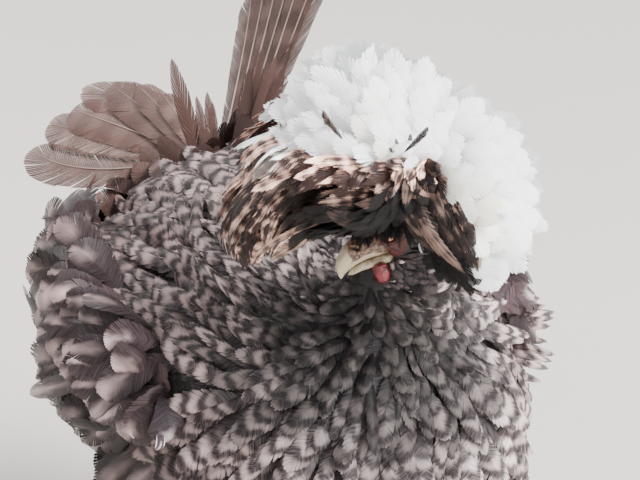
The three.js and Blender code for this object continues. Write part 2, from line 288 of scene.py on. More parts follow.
to_head = Euler((math.radians(HEAD_TILT), math.radians(HEAD_DROP), math.radians(-90 - HEAD_TURN))).to_matrix()
between_eyes = (middle_of("eye_left") + middle_of("eye_right")) / 2
skull = between_eyes - to_head @ Vector((EYE_IN_HEAD.x, 0, EYE_IN_HEAD.z))
HEAD_AXES = np.array(to_head)
SKULL = np.array(skull)


def from_head(points):
    """Points given in the head's frame, as points of the bird. The bill lies along X and her left along Y."""
    return np.asarray(points, float) @ HEAD_AXES.T + SKULL


def in_head(points):
    return (np.asarray(points, float) - SKULL) @ HEAD_AXES


def globe(place_in_head, size, rows=24):
    """An ellipsoid's mesh, placed and turned with the head."""
    ball = bmesh.new()
    bmesh.ops.create_uvsphere(ball, u_segments=2 * rows, v_segments=rows, radius=1)
    mesh = bpy.data.meshes.new("globe")
    ball.to_mesh(mesh)
    ball.free()
    place(mesh, from_head(points_of(mesh) * np.array(size) + np.array(place_in_head)))
    return mesh


def refined(mesh, chosen, cuts):
    """Cuts the chosen faces into smaller ones."""
    cut = bmesh.new()
    cut.from_mesh(mesh)
    cut.faces.ensure_lookup_table()
    edges = {edge for i in np.flatnonzero(chosen) for edge in cut.faces[int(i)].edges}
    bmesh.ops.subdivide_edges(cut, edges=list(edges), cuts=cuts, use_grid_fill=True)
    bmesh.ops.triangulate(cut, faces=[face for face in cut.faces if len(face.verts) > 4])
    cut.to_mesh(mesh)
    cut.free()
    mesh.update()


def thigh_end(points):
    """1 at the narrow lower ends of the thighs, where the plumage is thin, and 0 on the rest of the body."""
    return 1 - smooth(points[:, 2], *THIGH_END)


skin = shell_of("skin", FLESH, SKIN_GRAIN, 3, extra=globe(KNOB_PLACE, KNOB_SIZE))
skin_edges = edges_of(skin.data)
skin_points = points_of(skin.data)
for _ in range(SINK_STEPS):
    place(skin.data, skin_points)
    depth = COAT_DEPTH / SINK_STEPS * smooth(far_from(skin_points, SKULL), BARE_RADIUS, COVERED_RADIUS)
    depth = depth * (1 - THIGH_THINNING * thigh_end(skin_points))
    sunk = skin_points - normals_of(skin.data) * depth[:, None]
    settled = relaxed(sunk, skin_edges, 2)
    skin_points = np.where((depth > 0)[:, None], settled, sunk)
place(skin.data, skin_points)


# The face: the skin rises round each eye as a ring with folds, dips under the ball inside the lids, and lies
# in fine wrinkles. The lids leave an almond open that is a little lower behind.
EYE_RADIUS = 0.0044
LID_THICKNESS = 0.00055
LID_OPENING = (0.0037, 0.0029)  # half its length and half its height
ORBIT_REACH = 0.0085
RING_FOOT, RING_SLOPE, RING_HEIGHT = 0.0013, 0.42, 0.0031  # beyond the middle of the eye
WRINKLE_DEPTH, WRINKLE_REACH = 0.00010, 0.030
FINE_REACH, FINEST_REACH = 0.030, 0.0125  # from the middles of skull and eyes: where faces are cut smaller
FACE_REACH = 0.034
FACE_CUTS = 2


def eye_middle(side):
    """The middle of her right (-1) or left (1) eye, in the head's frame."""
    return np.array((EYE_IN_HEAD.x, side * EYE_IN_HEAD.y, EYE_IN_HEAD.z))


def near_skull(points):
    return far_from(points, SKULL) < FINE_REACH


def near_eyes(points):
    return np.any([far_from(in_head(points), eye_middle(side)) < FINEST_REACH for side in (-1, 1)], axis=0)


for is_near in (near_skull, near_eyes):
    refined(skin.data, is_near(read(skin.data.polygons, "center", 3).astype(float)), FACE_CUTS)
    skin_points = points_of(skin.data)
    local = far_from(skin_points, SKULL) < FACE_REACH
    skin_points = np.where(local[:, None], relaxed(skin_points, edges_of(skin.data), 3), skin_points)
    place(skin.data, skin_points)

face = in_head(skin_points)
side = np.sign(face[:, 1])
dx, dz = face[:, 0] - EYE_IN_HEAD.x, face[:, 2] - EYE_IN_HEAD.z
far = np.hypot(dx, dz)
outer = EYE_RADIUS + LID_THICKNESS
lid_edge = 0.8 * outer
dome = EYE_IN_HEAD.y + np.sqrt(np.maximum(outer ** 2 - far ** 2, 0))
slope = EYE_IN_HEAD.y + RING_FOOT - RING_SLOPE * (far - lid_edge)
ring = np.where(far < lid_edge, dome, np.maximum(dome, np.minimum(slope, EYE_IN_HEAD.y + RING_HEIGHT)))
by_eye = (face[:, 1] * side > 0.4 * EYE_IN_HEAD.y) & (far < ORBIT_REACH)
almond = np.hypot(dx / LID_OPENING[0], (dz + 0.10 * dx) / LID_OPENING[1])
lip = np.exp(-((almond - 1.14) / 0.13) ** 2) * 0.00034
folds = 0.00013 * np.cos(almond * 15 - 0.6) * smooth(almond, 1.2, 1.5) * (1 - smooth(almond, 2.0, 2.6))
rise = 1 - smooth(far, 0.75 * ORBIT_REACH, ORBIT_REACH)
wanted = face[:, 1] * side * (1 - rise) + np.maximum(face[:, 1] * side, ring) * rise + (lip + folds) * rise
inside = 1 - smooth(almond, 0.86, 1.02)
under = EYE_IN_HEAD.y + np.sqrt(np.maximum((EYE_RADIUS - 0.0012) ** 2 - far ** 2, 0))
wanted = wanted * (1 - inside) + under * inside
face[:, 1] = np.where(by_eye, wanted * side, face[:, 1])
place(skin.data, from_head(face))

face = in_head(points_of(skin.data))
wrinkled = np.linalg.norm(face, axis=1) < WRINKLE_REACH
crease = np.sin(face[:, 0] * 3100 + 2.2 * np.sin(face[:, 2] * 900))
crease = crease * np.sin(face[:, 2] * 2500 + 2 * np.sin(face[:, 0] * 700))
creased = points_of(skin.data) + normals_of(skin.data) * (WRINKLE_DEPTH * crease * wrinkled)[:, None]
place(skin.data, creased)


def bareness(points):
    """1 on the naked skin round the eyes and the gape, 0 where she is feathered."""
    place_in_head = in_head(points)
    oval = np.hypot((place_in_head[:, 0] - 0.0125) / 0.0105, (place_in_head[:, 2] + 0.0035) / 0.0095)
    return 1 - smooth(oval, 0.85, 1.05)


def surface_of(mesh):
    """The points, normals and triangles of a mesh, and a tree for finding its nearest point."""
    points, triangles = points_of(mesh), triangles_of(mesh)
    tree = BVHTree.FromPolygons(points.tolist(), triangles.tolist())
    return {"points": points, "normals": normals_of(mesh), "triangles": triangles, "tree": tree}


skin_surface = surface_of(skin.data)


def set_field(mesh, name, values):
    """Stores a number or a vector for each point."""
    kind = "FLOAT" if values.ndim == 1 else "FLOAT_VECTOR"
    field = "value" if values.ndim == 1 else "vector"
    mesh.attributes.new(name, kind, "POINT").data.foreach_set(field, values.astype(np.float32).ravel())


THROAT = np.array((0.013, -0.104, 0.240))  # the lie of the plumage spreads from here
DARK_SHADED_THROAT = np.array((0.005, -0.134, 0.235))


def plumage_tone(points):
    """Warmth, strength of the bars and lightness of the plumage here, with painted shade in the lightness."""
    back = smooth(points[:, 1], -0.12, 0.02)
    right = smooth(-points[:, 0], 0.0, 0.07)
    throat = 1 - smooth(far_from(points, DARK_SHADED_THROAT), 0.03, 0.065)
    low = 1 - smooth(points[:, 2], 0.09, 0.15)
    shaded_side = right * (1 - smooth(points[:, 2], 0.13, 0.20))
    left = smooth(points[:, 0], 0.03, 0.09)
    warmth = np.clip(0.10 + 0.45 * back + 0.45 * right + 0.55 * left - 0.3 * throat, 0, 1)
    barring = np.clip(0.95 - 0.4 * throat - 0.3 * low, 0, 1)
    # Painted shade: darker low on the body, lower still on her right side under the wing (shaded_side), and
    # at the throat under the head and crest, where the feathers are also darker.
    lightness = 0.92 - 0.22 * right - 0.70 * throat - 0.16 * low - 0.78 * shaded_side
    return np.stack([warmth, barring, lightness - 0.32 * back - 0.06 * left], -1)


set_field(skin.data, "bare", bareness(skin_surface["points"]))
# The skin takes the plumage's colours, less barred and dimmed as painted shade between the feathers.
set_field(skin.data, "tone", plumage_tone(skin_surface["points"]) * (1, 0.25, 0.4))


# Body plumage: rounded vanes of soft barbs, rooted in the skin and laid from the throat outwards and back.
# They are barred dark and pale, greyer on the breast and browner on the back and wings. The skin below is
# coloured alike, but less barred and dimmed with painted shade where it shows between the feathers.
rng = np.random.default_rng(5154)
TUFT_PATCH = 0.003
BAR_PERIOD = 0.0096
TRUNK_AXIS = np.array((0.003, -0.017, 0.168))


def unit_vane(strips, levels, shoulder=0.62, turn=0.55, splay=1.15, root_width=0.16, point_power=0.9):
    """A flat feather as barbs: places along and across, barb numbers, shares of the barb's length and
    triangles. The outline widens to the shoulder and is round beyond it."""
    table, faces = [], []

    def outline(s, part):
        if s < turn:
            rise = math.sin(math.pi / 2 * s / turn) ** 0.8
            edge = (shoulder * s / turn, root_width + (1 - root_width) * rise)
        else:
            angle = math.pi / 2 * (s - turn) / (1 - turn)
            edge = (shoulder + (1 - shoulder) * math.sin(angle), max(math.cos(angle), 0) ** point_power)
        base = 0.9 * s ** 1.15
        return base + (edge[0] - base) * part ** splay, edge[1] * part ** 0.92

    for side in (-1, 1):
        for i in range(strips):
            first = len(table)
            places = [(i + end, part) for part in levels for end in (0.06 * part, 1 - 0.06 * part)]
            for s, part in places + [(i + 0.62, 1.0)]:
                t, y = outline(min(s / strips, 1.0), part)
                table.append((t, side * y, i if side > 0 else i + strips, part))
            for k in range(len(levels) - 1):
                a = first + 2 * k
                corners = [a, a + 1, a + 3, a + 2][::-side]
                faces += [(corners[0], corners[1], corners[2]), (corners[0], corners[2], corners[3])]
            a = first + 2 * (len(levels) - 1)
            faces.append((a, a + 1, a + 2) if side < 0 else (a + 1, a, a + 2))
    along, across, barb, share = np.array(table).T
    return {"along": along, "across": across, "barb": barb.astype(int), "share": share,
            "faces": np.array(faces), "strips": strips}


def mesh_from(name, points, faces):
    """A mesh of triangles, smoothly shaded."""
    mesh = bpy.data.meshes.new(name)
    mesh.vertices.add(len(points))
    mesh.vertices.foreach_set("co", points.astype(np.float32).ravel())
    mesh.loops.add(faces.size)
    mesh.loops.foreach_set("vertex_index", faces.astype(np.int32).ravel())
    mesh.polygons.add(len(faces))
    mesh.polygons.foreach_set("loop_start", np.arange(0, faces.size, 3, dtype=np.int32))
    mesh.polygons.foreach_set("use_smooth", np.ones(len(faces), bool))
    mesh.update(calc_edges=True)
    return mesh


def evened(values):
    """Values spread evenly from near 0 to near 1 in their own order."""
    return 0.01 + 0.98 * np.argsort(np.argsort(values)) / max(len(values) - 1, 1)


def tangential(vectors, normals):
    """The directions nearest to these that lie at right angles to the normals."""
    return unit(vectors - (vectors * normals).sum(-1, keepdims=True) * normals)


def shaft(quill, bow, tip, t):
    """Points on bent shafts, and their directions there."""
    t = np.asarray(t, float)[..., None]
    p0, p1, p2 = (np.asarray(a)[:, None, :] for a in (quill, bow, tip))
    points = (1 - t) ** 2 * p0 + 2 * t * (1 - t) * p1 + t ** 2 * p2
    return points, unit(2 * (1 - t) * (p1 - p0) + 2 * t * (p2 - p1))


def vanes(name, vane, quill, bow, tip, up_root, up_tip, width, tone, place_on_map, camber=0.25, ragged=1.0,
          loose=1.0, locks=3, split=0.4):
    """Feathers as one object. Each one's shaft bends from its quill past a bow point to its tip, and its face
    turns from up_root to up_tip. Its barbs cling together in locks. Tone is what its material reads, and
    place_on_map where its root lies on the unrolled skin."""
    count, size = len(quill), len(vane["along"])
    barb = vane["barb"]
    lock = (barb // locks)[None, :] + np.zeros((count, 1), int)
    own = rng.random((3, count, 2 * vane["strips"]))[:, :, barb] - 0.5
    shared = rng.random((3, count, 2 * vane["strips"] // locks + 2))
    shared = np.stack([np.take_along_axis(one, lock, axis=1) for one in shared]) - 0.5
    strand = split * own + (1 - split) * shared
    part = vane["share"] ** 2
    t = vane["along"] + ragged * 0.05 * strand[0] * part
    y = vane["across"] * (1 + ragged * 0.25 * strand[1] * part)
    centre, along = shaft(quill, bow, tip, t)
    t3, y3 = t[..., None], y[..., None]
    up = tangential((1 - t3) * up_root[:, None, :] + t3 * up_tip[:, None, :], along)
    half_width = width[:, None, None] / 2
    lift = (-camber * y3 ** 2 + loose * 0.16 * (strand[2] * part)[..., None]) * half_width
    points = centre + np.cross(along, up) * y3 * half_width + up * lift
    faces = (vane["faces"][None] + size * np.arange(count)[:, None, None]).reshape(-1, 3)
    mesh = mesh_from(name, points.reshape(-1, 3), faces)
    length = np.linalg.norm(quill - bow, axis=1) + np.linalg.norm(bow - tip, axis=1)
    draw = np.repeat(rng.random(count)[:, None], size, axis=1)
    set_field(mesh, "vane", np.stack([t, y, draw], -1).reshape(-1, 3))
    out = np.abs(y) * width[:, None] / 2
    reach = t * length[:, None] - 0.8 * out
    set_field(mesh, "grain", np.stack([reach, out, length[:, None] + 0 * t], -1).reshape(-1, 3))
    set_field(mesh, "tone", np.broadcast_to(tone[:, None, :], points.shape).reshape(-1, 3))
    spot = np.stack([evened(places) for places in place_on_map], -1) * (1 - 2 * TUFT_PATCH) + TUFT_PATCH
    patch = np.stack([0.5 * vane["across"], vane["along"] - 0.5], -1) * TUFT_PATCH
    corners = (spot[:, None, :] + patch[None]).reshape(-1, 2)[faces.ravel()]
    mesh.uv_layers.new(name="OFBake").uv.foreach_set("vector", corners.astype(np.float32).ravel())
    return added(name, mesh)


def thinned(points, apart):
    """The numbers of those points that keep their distance from the ones before them."""
    least = float(apart.min())
    reach = int(math.ceil(float(apart.max()) / least))
    steps = [(i, j, k) for i in range(-reach, reach + 1) for j in range(-reach, reach + 1)
             for k in range(-reach, reach + 1)]
    places = points.tolist()
    cells_of = np.floor(points / least).astype(int).tolist()
    grid, kept = {}, []
    for n, (cell, (x, y, z), distance) in enumerate(zip(cells_of, places, apart)):
        near = [places[m] for i, j, k in steps for m in grid.get((cell[0] + i, cell[1] + j, cell[2] + k), ())]
        if all((x - a) ** 2 + (y - b) ** 2 + (z - c) ** 2 >= distance ** 2 for a, b, c in near):
            grid.setdefault(tuple(cell), []).append(n)
            kept.append(n)
    return kept


def scattered(surface, wanted, spacing, tries=7):
    """Places on a surface that keep their distance from each other: points and normals. wanted picks
    triangles by their middles and normals, and spacing gives the distance at a point."""
    corners = surface["points"][surface["triangles"]]
    centres = corners.mean(1)
    normals = unit(surface["normals"][surface["triangles"]].mean(1))
    chosen = np.flatnonzero(wanted(centres, normals))
    corners = corners[chosen]
    share = np.linalg.norm(np.cross(corners[:, 1] - corners[:, 0], corners[:, 2] - corners[:, 0]), axis=1)
    share = share / spacing(centres[chosen]) ** 2
    picks = rng.choice(len(chosen), int(tries * share.sum() / 2), p=share / share.sum())
    weights = rng.dirichlet((1, 1, 1), len(picks))[..., None]
    points = (corners[picks] * weights).sum(1)
    normals = unit((surface["normals"][surface["triangles"][chosen[picks]]] * weights).sum(1))
    kept = thinned(points, spacing(points))
    return points[kept], normals[kept]


def nearest_on(surface, points):
    """The surface's nearest points and its normals there."""
    found = [surface["tree"].find_nearest(Vector(p)) for p in points]
    places = np.array([f[0] for f in found])
    return places, unit(surface["normals"][surface["triangles"][[f[2] for f in found]]].mean(1))


def turned(vectors, axes, angles):
    """Vectors turned about axes at right angles to them."""
    c, s = np.cos(angles)[:, None], np.sin(angles)[:, None]
    return vectors * c + np.cross(axes, vectors) * s


def trunk_map(points):
    """Where points lie on the skin unrolled about the trunk's long axis."""
    return np.arctan2(points[:, 0] - TRUNK_AXIS[0], points[:, 2] - TRUNK_AXIS[2]), points[:, 1]


def laid(name, vane, roots, normals, lie, length, width, height, tone, lift=30, spread=12, twist=0.22,
         surface=skin_surface, **shape):
    """Feathers that grow from the skin, lean the way the lie says, and end at a height above a surface."""
    count = len(roots)
    lie = turned(lie, normals, np.radians(rng.normal(0, spread, count)))
    aim, up_tip = nearest_on(surface, roots + lie * length[:, None])
    tip = aim + up_tip * height[:, None]
    reach = np.linalg.norm(tip - roots, axis=1, keepdims=True)
    kept = reach[:, 0] > 0.6 * length
    roots, normals, lie, width, tone, tip, up_tip, reach = (
        a[kept] for a in (roots, normals, lie, width, tone, tip, up_tip, reach))
    count = len(roots)
    angle = np.radians(lift + rng.normal(0, 5, count))[:, None]
    bow = roots + (lie * np.cos(angle) + normals * np.sin(angle)) * reach * 0.5
    roll = rng.normal(0, twist, count)[:, None] * np.cross(lie, normals)
    up_root, up_tip = unit(normals + roll), unit(up_tip + roll + 0.1 * lie)
    return vanes(name, vane, roots, bow, tip, up_root, up_tip, width, tone, trunk_map(roots), **shape)


def calc(operation, *values):
    """The result of a Math node."""
    return node(tree_of(*values), "ShaderNodeMath", dict(enumerate(values)), operation=operation).outputs[0]


def times(first, second):
    return calc("MULTIPLY", first, second)


def varied(base, by, middle, amount):
    """A number raised where another one is above its middle, and lowered where that is below."""
    return calc("MULTIPLY_ADD", calc("SUBTRACT", by, middle), amount, base)


def ramp(value, low, high):
    """0 below low, 1 above high, and smooth between them."""
    made = node(value.id_data, "ShaderNodeMapRange", {"Value": value, "From Min": low, "From Max": high},
                interpolation_type="SMOOTHSTEP")
    return made.outputs["Result"]


def joined(*values):
    """A vector made from up to three numbers."""
    return node(tree_of(*values), "ShaderNodeCombineXYZ", dict(enumerate(values))).outputs[0]


def parted(vector):
    """The three numbers of a vector, under X, Y and Z."""
    return node(vector.id_data, "ShaderNodeSeparateXYZ", {0: vector}).outputs


def carried(tree, name, output="Fac"):
    """What the points of a piece carry under a name."""
    return node(tree, "ShaderNodeAttribute", attribute_name=name).outputs[output]


def embossed(shader, height, distance, strength):
    """Gives a surface a fine relief."""
    inputs = {"Height": height, "Distance": distance, "Strength": strength}
    feed(shader.inputs["Normal"], node(height.id_data, "ShaderNodeBump", inputs).outputs["Normal"])


def cells(vector, scale, feature="SMOOTH_F1"):
    """Distances in a pattern of small cells."""
    inputs = {"Vector": vector, "Scale": scale}
    return node(vector.id_data, "ShaderNodeTexVoronoi", inputs, feature=feature).outputs["Distance"]


def colour_group(name, labels):
    """An empty node group with these inputs and a colour as its output."""
    group = bpy.data.node_groups.new(name, "ShaderNodeTree")
    for label in labels:
        group.interface.new_socket(label, in_out="INPUT", socket_type="NodeSocketFloat")
    group.interface.new_socket("Color", in_out="OUTPUT", socket_type="NodeSocketColor")
    return group, group.nodes.new("NodeGroupInput").outputs, group.nodes.new("NodeGroupOutput").inputs


def dimmed(tint, factor):
    """A colour multiplied by a number."""
    grey = node(factor.id_data, "ShaderNodeCombineColor", {0: factor, 1: factor, 2: factor})
    return blended(1.0, tint, grey.outputs[0], "MULTIPLY")


def from_tip(given, along):
    """The distance of a place on a feather from its tip."""
    return times(calc("SUBTRACT", 1.0, along), given["Length"])


def rippled(distance, period, lot, shift):
    """A wave along a feather, which starts elsewhere on each one."""
    return calc("COSINE", calc("MULTIPLY_ADD", distance, 2 * math.pi / period, times(lot, shift)))


def blotches(given, along, across, detail):
    """Soft blotches that differ from feather to feather, so many along and across one."""
    lot = times(given["Lot"], 90.0)
    return noise(joined(times(given["Along"], along), times(given["Across"], across), lot), 1.0, detail)


def lighter_barbs(tint, streaks, strength):
    """A colour with lighter barbs here and there."""
    return blended(times(calc("SUBTRACT", streaks, 0.38), strength), tint, colour(225, 215, 212), "SCREEN")


# The plumage group gives feathers and skin their colours: dark with soft pale bars that bow across the vane,
# pale at the tip on the breast and dark at the tip on the back, dark at the root, where the down is and where
# painted shade stands for the shade between feathers, and lighter barbs here and there.
PLUMAGE_LABELS = ("Along", "Across", "Length", "Lot", "Streaks", "Warmth", "Barring", "Lightness")
plumage, given, result = colour_group("plumage", PLUMAGE_LABELS)
across = calc("ABSOLUTE", given["Across"])
bowed = calc("MULTIPLY_ADD", calc("POWER", across, 2.0), 0.12, given["Along"])
shifted = varied(from_tip(given, bowed), given["Lot"], 0.6, 0.0065)
shifted = varied(shifted, blotches(given, 3.0, 1.1, 1.0), 0.5, 0.0100)
shifted = calc("MULTIPLY_ADD", given["Warmth"], 0.5 * BAR_PERIOD, shifted)
wave = calc("COSINE", times(shifted, 2 * math.pi / BAR_PERIOD))
frayed = varied(wave, given["Streaks"], 0.5, 0.9)
inner = calc("SUBTRACT", 1.0, times(calc("POWER", across, 2.5), 0.5))
bar = times(times(ramp(frayed, -1.0, 1.3), given["Barring"]), inner)
dark = blended(given["Warmth"], colour(50, 38, 42), colour(50, 34, 36))
pale = blended(given["Warmth"], colour(222, 204, 201), colour(208, 170, 164))
down = blended(given["Warmth"], colour(46, 38, 41), colour(48, 37, 36))
# Dark down at the root, darkened further as painted shade between the feathers.
tint = blended(ramp(given["Along"], 0.62, 0.25), blended(bar, dark, pale), down)
tint = lighter_barbs(tint, given["Streaks"], 0.35)
shade = times(given["Lightness"], calc("MULTIPLY_ADD", given["Lot"], 0.6, 0.7))
feed(result["Color"], dimmed(tint, shade))


def barb_grain(tree):
    """Fine streaks along the barbs, and the coordinates and tone that the feathers carry."""
    grain, vane, tone = (parted(carried(tree, name, "Vector")) for name in ("grain", "vane", "tone"))
    line = joined(times(grain["X"], 1500.0), times(grain["Y"], 120.0), times(vane["Z"], 50.0))
    return noise(line, 1.0), grain, vane, tone


def feather_material(name, group, roughness=0.55, labels=("Warmth", "Barring", "Lightness"), relief=0.5):
    """A feather's material: a colour group fed with the vane's coordinates, and a grain along the barbs."""
    material, tree, shader = shaded(
        name, roughness, Sheen_Weight=0.04, Sheen_Roughness=0.4, Specular_IOR_Level=0.18)
    streaks, grain, vane, tone = barb_grain(tree)
    fed = dict(zip(labels, (tone["X"], tone["Y"], tone["Z"])))
    fed |= dict(zip(("Along", "Across", "Lot"), (vane["X"], vane["Y"], vane["Z"])))
    fed |= {"Length": grain["Z"], "Streaks": streaks}
    coloured = node(tree, "ShaderNodeGroup", fed, node_tree=group)
    feed(shader.inputs["Base Color"], coloured.outputs["Color"])
    embossed(shader, streaks, 0.0003, relief)
    return material


body_feather = feather_material("body_feather", plumage)

skin_material, tree, shader = shaded("skin", 0.5)
mottle = noise(own_place(tree), 420.0, 4.0)
tone = parted(carried(tree, "tone", "Vector"))
coloured = node(tree, "ShaderNodeGroup", {
    "Along": mottle, "Lot": mottle, "Streaks": mottle, "Length": 0.04,
    "Warmth": tone["X"], "Barring": tone["Y"], "Lightness": tone["Z"]}, node_tree=plumage)
# The bare red is darkened with painted shade from the crest that hangs over the face.
bare_red_in_painted_shade = blended(ramp(mottle, 0.3, 0.7), colour(34, 10, 11), colour(84, 20, 20))
feed(shader.inputs["Base Color"], blended(carried(tree, "bare"), coloured.outputs["Color"], bare_red_in_painted_shade))
embossed(shader, cells(own_place(tree), 1500.0), 0.0004, 0.8)
finished(skin, "face_skin", *FLESH, material=skin_material)


# The coat of the trunk, neck and thighs. Each root knows how far the other solids are, so that the feathers
# of the thighs get a lie and a size of their own and those by the wings lie flat. A few feathers stand out
# from the rest, as she is fluffed up.
STRAY_SHARE = 0.07
FEATHERED_FROM = 0.030  # from the middle of the skull


def gap_to(node_name, points):
    """How far each point is from a solid."""
    tree = surface_of(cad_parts[node_name].data)["tree"]
    return np.array([tree.find_nearest(Vector(p))[3] for p in points])


def root_spacing(points):
    return 0.0060 - 0.0026 * (1 - smooth(far_from(points, SKULL), 0.035, 0.095))


def view_ray(across, down):
    """The direction from the camera to a pixel of the view."""
    to_pixel = (across - VIEW_WIDTH / 2, VIEW_HEIGHT / 2 - down, -LENS_MM / SENSOR_MM * VIEW_WIDTH)
    return camera.rotation_euler.to_matrix() @ Vector(to_pixel).normalized()


def seen(surface, across, down):
    """The place on a surface that shows at a pixel of the view."""
    return np.array(surface["tree"].ray_cast(camera.location, view_ray(across, down))[0])


def nearness(points, spot, reach):
    """1 at a spot on the body, falling to 0 at some distance from it."""
    return 1 - smooth(far_from(points, spot), 0.4 * reach, reach)


DOWN_SEEN, DOWN_REACH = (325, 258), 0.034  # pale down between the bill and her right shoulder
PALE_SEEN, PALE_REACH = (446, 268), 0.030  # pale streaks in the hackle below the crest
DOWN_TONE = np.array((0.0, 1.3, 1.8))  # warmth, barring, lightness
PALE_TONE = (-0.3, 0.4, 1.0)  # added to the others
SWEPT_SEEN, SWEPT_REACH = (255, 295), 0.060  # long narrow neck feathers that sweep up and back there
body_vane = unit_vane(14, (0.0, 0.5, 0.9))
roots, normals = scattered(
    skin_surface, lambda centre, normal: far_from(centre, SKULL) > FEATHERED_FROM, root_spacing)
gaps = {node_name: gap_to(node_name, roots + COAT_DEPTH * normals) for node_name in FLESH}
wing_gap = np.minimum(gaps["wing_right"], gaps["wing_left"])
in_wing = 1 - smooth(wing_gap, 0.002, 0.020)
thigh_gap = np.minimum(gaps["drumstick_right"], gaps["drumstick_left"])
on_thigh = thigh_gap <= np.min(list(gaps.values()), axis=0)
lie = unit(roots - THROAT) + 0.35 * np.array((0, 1, -0.35)) + 1.6 * on_thigh[:, None] * np.array((0, 0.3, -1))
swept = nearness(roots, seen(skin_surface, *SWEPT_SEEN), SWEPT_REACH)
lie = tangential(lie + 1.5 * swept[:, None] * np.array((0, 0.4, 1.0)), normals)
growth = smooth(far_from(roots, SKULL), 0.025, 0.12)
count = len(roots)
stray = rng.random(count) < STRAY_SHARE
lengths = (0.015 + 0.025 * growth - 0.010 * on_thigh) * rng.uniform(0.82, 1.22, count)
lengths = lengths * (1 - 0.4 * thigh_end(roots))
widths = (0.0062 + 0.0072 * growth - 0.003 * on_thigh) * rng.uniform(0.8, 1.25, count)
widths = widths * (1 - 0.3 * stray - 0.4 * swept)
heights = (0.003 + 0.0095 * growth - 0.003 * on_thigh) * rng.uniform(0.82, 1.2, count) + 0.006 * stray
heights = heights * (1 - 0.6 * in_wing) * (1 - 0.6 * thigh_end(roots))
down = nearness(roots, seen(skin_surface, *DOWN_SEEN), DOWN_REACH)[:, None]
tones = plumage_tone(roots) * rng.uniform((0.7, 0.6, 0.7), (1.3, 1.0, 1.3), (count, 3))
tones = tones * (1 - swept[:, None] * (0, 0, 0.15)) * (1 - down) + down * DOWN_TONE
pale = nearness(roots, seen(skin_surface, *PALE_SEEN), PALE_REACH) * (rng.random(count) < 0.5)
tones = tones + pale[:, None] * PALE_TONE
front, back = roots[:, 1] < -0.07, normals[:, 2] > 0.45
on_right = roots[:, 0] < 0
groups = {
    "coat_breast_right": front & on_right,
    "coat_breast_left": front & ~on_right,
    "coat_back": ~front & back,
    "coat_flank_right": ~front & ~back & on_right,
    "coat_flank_left": ~front & ~back & ~on_right,
}
for name, chosen in groups.items():
    traits = (values[chosen] for values in (roots, normals, lie, lengths, widths, heights, tones))
    coat = laid(name, body_vane, *traits, lift=22, spread=17, camber=0.45, ragged=1.2, locks=3, split=0.25)
    finished(coat, "body_feather", material=body_feather)


# Small feathers of the head and upper neck: short, dark and dense on cheeks and throat, with pale streaks
# behind the ear. They lie backwards and down, and leave the bare face free.
CHEEK_REACH = 0.033
CHEEK_SPACING = 0.0023
CHEEK_LENGTH, CHEEK_WIDTH, CHEEK_HEIGHT = 0.0105, 0.0046, 0.0018


def on_cheek(centre, normal):
    local = in_head(centre)
    below_crest = (local[:, 2] < 0.010) & (local[:, 0] < 0.0185)
    return (far_from(centre, SKULL) < CHEEK_REACH) & (bareness(centre) < 0.35) & below_crest


small_vane = unit_vane(7, (0.0, 0.55))
roots, normals = scattered(skin_surface, on_cheek, lambda p: np.full(len(p), CHEEK_SPACING))
local = in_head(roots)
backwards = np.stack([np.full(len(roots), -1.0), 0.25 * np.sign(local[:, 1]), -0.45 + 0 * local[:, 2]], -1)
lie = tangential(backwards @ HEAD_AXES.T, normals)
count = len(roots)
size = 0.55 + 0.45 * smooth(local[:, 0], 0.016, -0.006)
pale = rng.random(count) < 0.12 + 0.45 * smooth(local[:, 0], -0.004, -0.016)
tones = np.stack([np.full(count, 0.1), np.where(pale, 1.0, 0.15), np.where(pale, 1.0, 0.6)], -1)
lengths = CHEEK_LENGTH * size * rng.uniform(0.8, 1.2, count)
widths = CHEEK_WIDTH * size * rng.uniform(0.8, 1.2, count)
heights = CHEEK_HEIGHT * size * rng.uniform(0.6, 1.4, count)
cheeks = laid("coat_head", small_vane, roots, normals, lie, lengths, widths, heights, tones,
              lift=26, spread=16)
finished(cheeks, "body_feather", material=body_feather)


# The tail: seven long flight feathers on each side, spread in a fan on her right and standing in a bundle on
# her left, warm dark brown with soft paler bars. Each follows its own solid.
TAIL_ROOT = np.array((0.005, 0.093, 0.208))
SHAFT_THICKNESS = 0.0013
TAIL_SIDES = {"right": (0.0, 1.02, 1.0), "left": (0.35, 1.25, 0.85)}  # turned to the view, broader, lightness


def long_solid(node_name, start):
    """A long solid's points, the same from its middle, its own axes, and the direction away from start."""
    points = points_of(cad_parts[node_name].data)
    middle = points.mean(0)
    axes = np.linalg.svd(points - middle, full_matrices=False)[2]
    return points, points - middle, axes, axes[0] * np.sign((middle - start) @ axes[0])


def spine_of(node_name, start):
    """The line of a long thin solid from the end nearest to start: root, bow and tip, its face's direction
    and width."""
    points, off_middle, axes, along = long_solid(node_name, start)
    reach = off_middle @ along
    share = (reach - reach.min()) / np.ptp(reach)

    def centre(at):
        part = points[np.argsort(np.abs(share - at))[:10]]
        return (part.min(0) + part.max(0)) / 2

    root, half, tip = centre(0.06), centre(0.5), centre(0.96)
    root, tip = root - along * 0.03 * np.ptp(reach), tip + along * 0.03 * np.ptp(reach)
    return root, 2 * half - (root + tip) / 2, tip, axes[2], np.ptp(off_middle @ axes[1])


